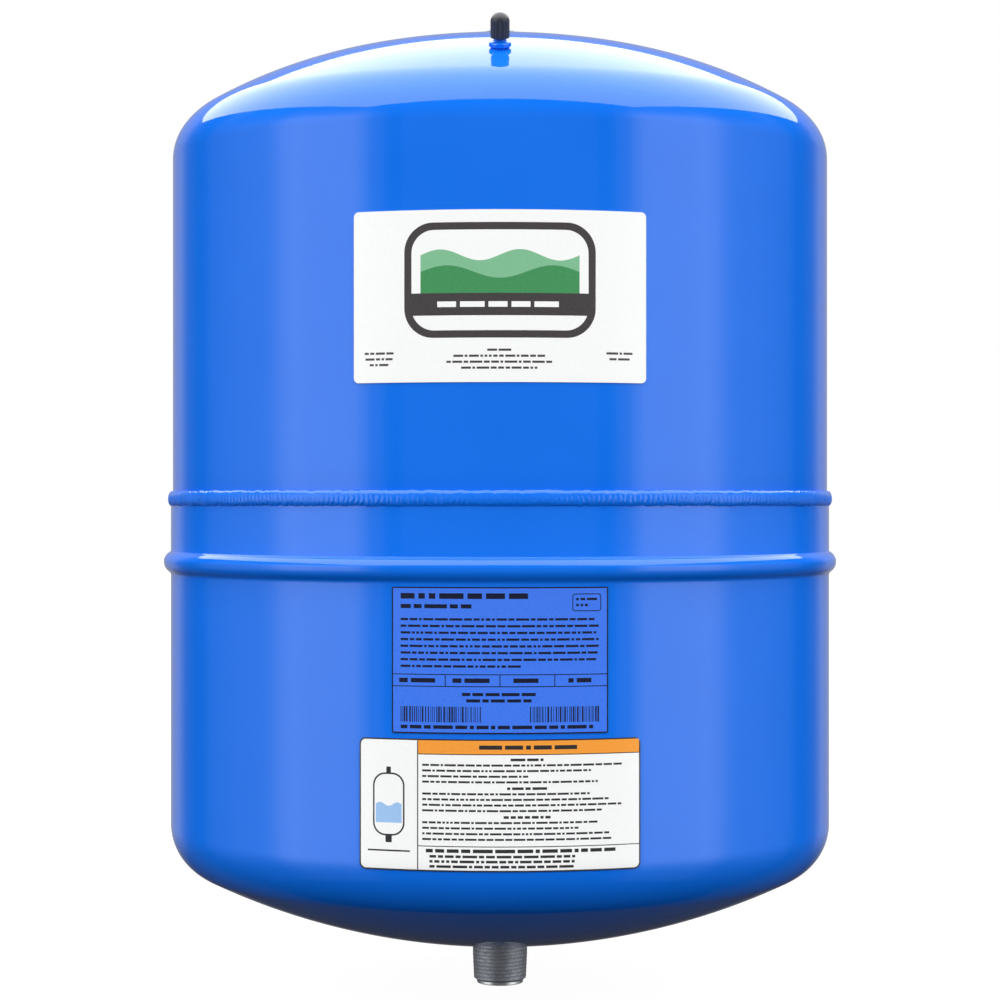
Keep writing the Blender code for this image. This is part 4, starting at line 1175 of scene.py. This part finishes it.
# %% Floor
FLOOR_REACH = 12.0
floor_paint = bpy.data.materials.new("studio floor")
node = emptied(floor_paint)
rays = node("LightPath").outputs
grey = node("BsdfDiffuse", {"Color": linear("474747")})
pale = node("BsdfDiffuse", {"Color": linear("B0B0B0")})
glow = node("Emission", {"Color": WHITE_LIGHT, "Strength": 1.2})
shown = node("MixShader", (0.2, glow, pale))
choice = node("MixShader", (rays["Is Camera Ray"], grey, shown))
node("OutputMaterial", (choice,))
corners = [(x * FLOOR_REACH, y * FLOOR_REACH, 0) for x, y in ((-1, -1), (1, -1), (1, 1), (-1, 1))]
stage_object("studio_floor", four_corners("floor", corners), floor_paint, glossy=False)

# %% [markdown]
# The flats and the side panels stand in a ring round the tank. Their brightness is a plain function of
# the direction, in degrees: one ramp goes round from the front, another goes up, and the two are
# multiplied. Behind the tank the ring stays bright high up, and is nearly dark low down.

# %% Ring of side panels
RING_RADIUS = 8.0
RING_FOOT, RING_TOP, RING_THICKNESS = -9.0, 14.0, 0.1
EYE_LEVEL = 0.35
LOOK = 50
BRIGHTEST = 2.0
LOW_GLOW = 0.025
ROUND = (
    (0, 0.14), (31.2, 0.14), (34.2, 0.02), (37.8, 0.1), (40.3, 0.38), (43, 0.49), (45.9, 1.1),
    (48.8, 1.63), (51.4, 1.77), (67.5, 1.77), (72.5, 1.84), (77.5, 1.52), (81.6, 0.97), (85.1, 0.68),
    (88.6, 0.54), (92.6, 0.49), (101.7, 0.38), (105.7, 0.29), (113.7, 0.2), (121.8, 0.03), (128.8, 0.03),
    (136.8, 0.12), (145.8, 0.41), (180, 0.36),
)
UP = (
    (-46, 0.0), (-41, 0.19), (-33, 0.22), (-27, 0.42), (-21, 0.84), (-15, 1.54), (-9, 1.92), (0, 2.0),
    (17, 2.0), (20, 1.7), (23, 1.14), (26, 0.8), (28.5, 0.46), (34, 0.24), (40, 0.1),
)
ring_paint = bpy.data.materials.new("side panels")
node = emptied(ring_paint)
spot = node("TexCoord").outputs["Object"]
xyz = node("SeparateXYZ", (spot,)).outputs
across = node("Math ABSOLUTE", (xyz["X"],))
front = node("Math MULTIPLY", (xyz["Y"], -1.0))
bearing = node("Math ARCTAN2", (across, front))
bearing = node("Math DIVIDE", (bearing, math.pi))
height = node("Math SUBTRACT", (xyz["Z"], EYE_LEVEL))
height = node("Math DIVIDE", (height, RING_RADIUS))
height = node("Math ARCTANGENT", (height,))
height = node("MapRange", (height, math.radians(-LOOK), math.radians(LOOK)))
ramps = []
for source, stops in (
    (bearing, [(angle / 180, value) for angle, value in ROUND]),
    (height, [((angle + LOOK) / (2 * LOOK), value) for angle, value in UP]),
):
    greys = [(at, [value / BRIGHTEST] * 3 + [1.0]) for at, value in stops]
    ramps.append(node("ValToRGB", (source,), greys))
behind = node("MapRange", (bearing, 0.56, 0.62))
above = node("MapRange", (height, 0.5, 0.59))
behind = node("Math MULTIPLY", (behind, above))
fade = node("Math MAXIMUM", (ramps[1], behind))
level = node("Math MULTIPLY", (ramps[0], fade))
above = node("MapRange", (height, 0.3, 0.4))
beside = node("MapRange", (bearing, 0.66, 0.76, 1.0, 0.0))
lit = node("Math MAXIMUM", (above, beside))
level = node("Mix", {0: lit, 2: LOW_GLOW, 3: level}, data_type="FLOAT")
level = node("Math MULTIPLY", (level, BRIGHTEST))
glow = node("Emission", {"Strength": level})
node("OutputMaterial", (glow,))
ring_paint.cycles.emission_sampling = "NONE"
profile = [(RING_RADIUS, RING_FOOT), (RING_RADIUS, RING_TOP)]
profile += [(RING_RADIUS + RING_THICKNESS, RING_TOP), (RING_RADIUS + RING_THICKNESS, RING_FOOT)]
stage_object("side_panels", turned_mesh("ring", profile, 128), ring_paint, **REFLECTED_ONLY)

# %% [markdown]
# The overhead panel hangs three and a half metres over eye level, wider than it is deep to a viewer
# below, and tips down towards the back of the room. Its edges are what bends into the bright shape on the
# dome. Two black cards close the ring above and below.

# %% Overhead panel, and the dark round it
def glow_card(name, half_width, near, far, strength):
    """A card that shines by itself, from its near to its far edge, each as distance back and height."""
    paint = bpy.data.materials.new(name)
    node = emptied(paint)
    node("OutputMaterial", (node("Emission", {"Strength": strength}),))
    paint.cycles.emission_sampling = "NONE"
    ends = ((-1, near), (1, near), (1, far), (-1, far))
    corners = [(side * half_width, y, EYE_LEVEL + z) for side, (y, z) in ends]
    stage_object(name, four_corners(name, corners), paint, **REFLECTED_ONLY)


glow_card("overhead_panel", 4.05, (-3.5, 3.5), (4.4, 2.5), 3.1)
glow_card("dark_ceiling", 9, (-9, 13.5), (9, 13.5), 0.0)
glow_card("dark_floor", 9, (-9, -9.2), (9, -9.2), 0.0)

# %% [markdown]
# ## Camera
# The photograph was taken from the front, level with the seam, from about a metre and a half away. A
# lens of 93 mm on a 36 mm sensor gives its view.

# %% Camera
CAMERA_DISTANCE, CAMERA_HEIGHT = 1.5904, 0.2951
SENSOR_WIDTH = 36
FOCAL_LENGTH_IN_WIDTHS = 2596 / 1000

camera = bpy.data.objects.new("camera", bpy.data.cameras.new("camera"))
bpy.context.collection.objects.link(camera)
camera.location = (0.0, -CAMERA_DISTANCE, CAMERA_HEIGHT)
camera.rotation_euler = (math.radians(90), 0.0, 0.0)
camera.data.sensor_width = SENSOR_WIDTH
camera.data.lens = FOCAL_LENGTH_IN_WIDTHS * SENSOR_WIDTH
bpy.context.scene.camera = camera
bpy.context.scene.view_settings.view_transform = "Standard"

# %% [markdown]
# ## Size
# The finished pieces must not be larger than the solid model. Both boxes are gathered into one table here,
# and the visual one is printed.

# %% Sizes of both boxes
low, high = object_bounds()
sizes = {"cad": [list(cad_low), list(cad_high)], "visual": [list(low), list(high)]}
print("visual model, m:", [round(v, 4) for v in high - low])
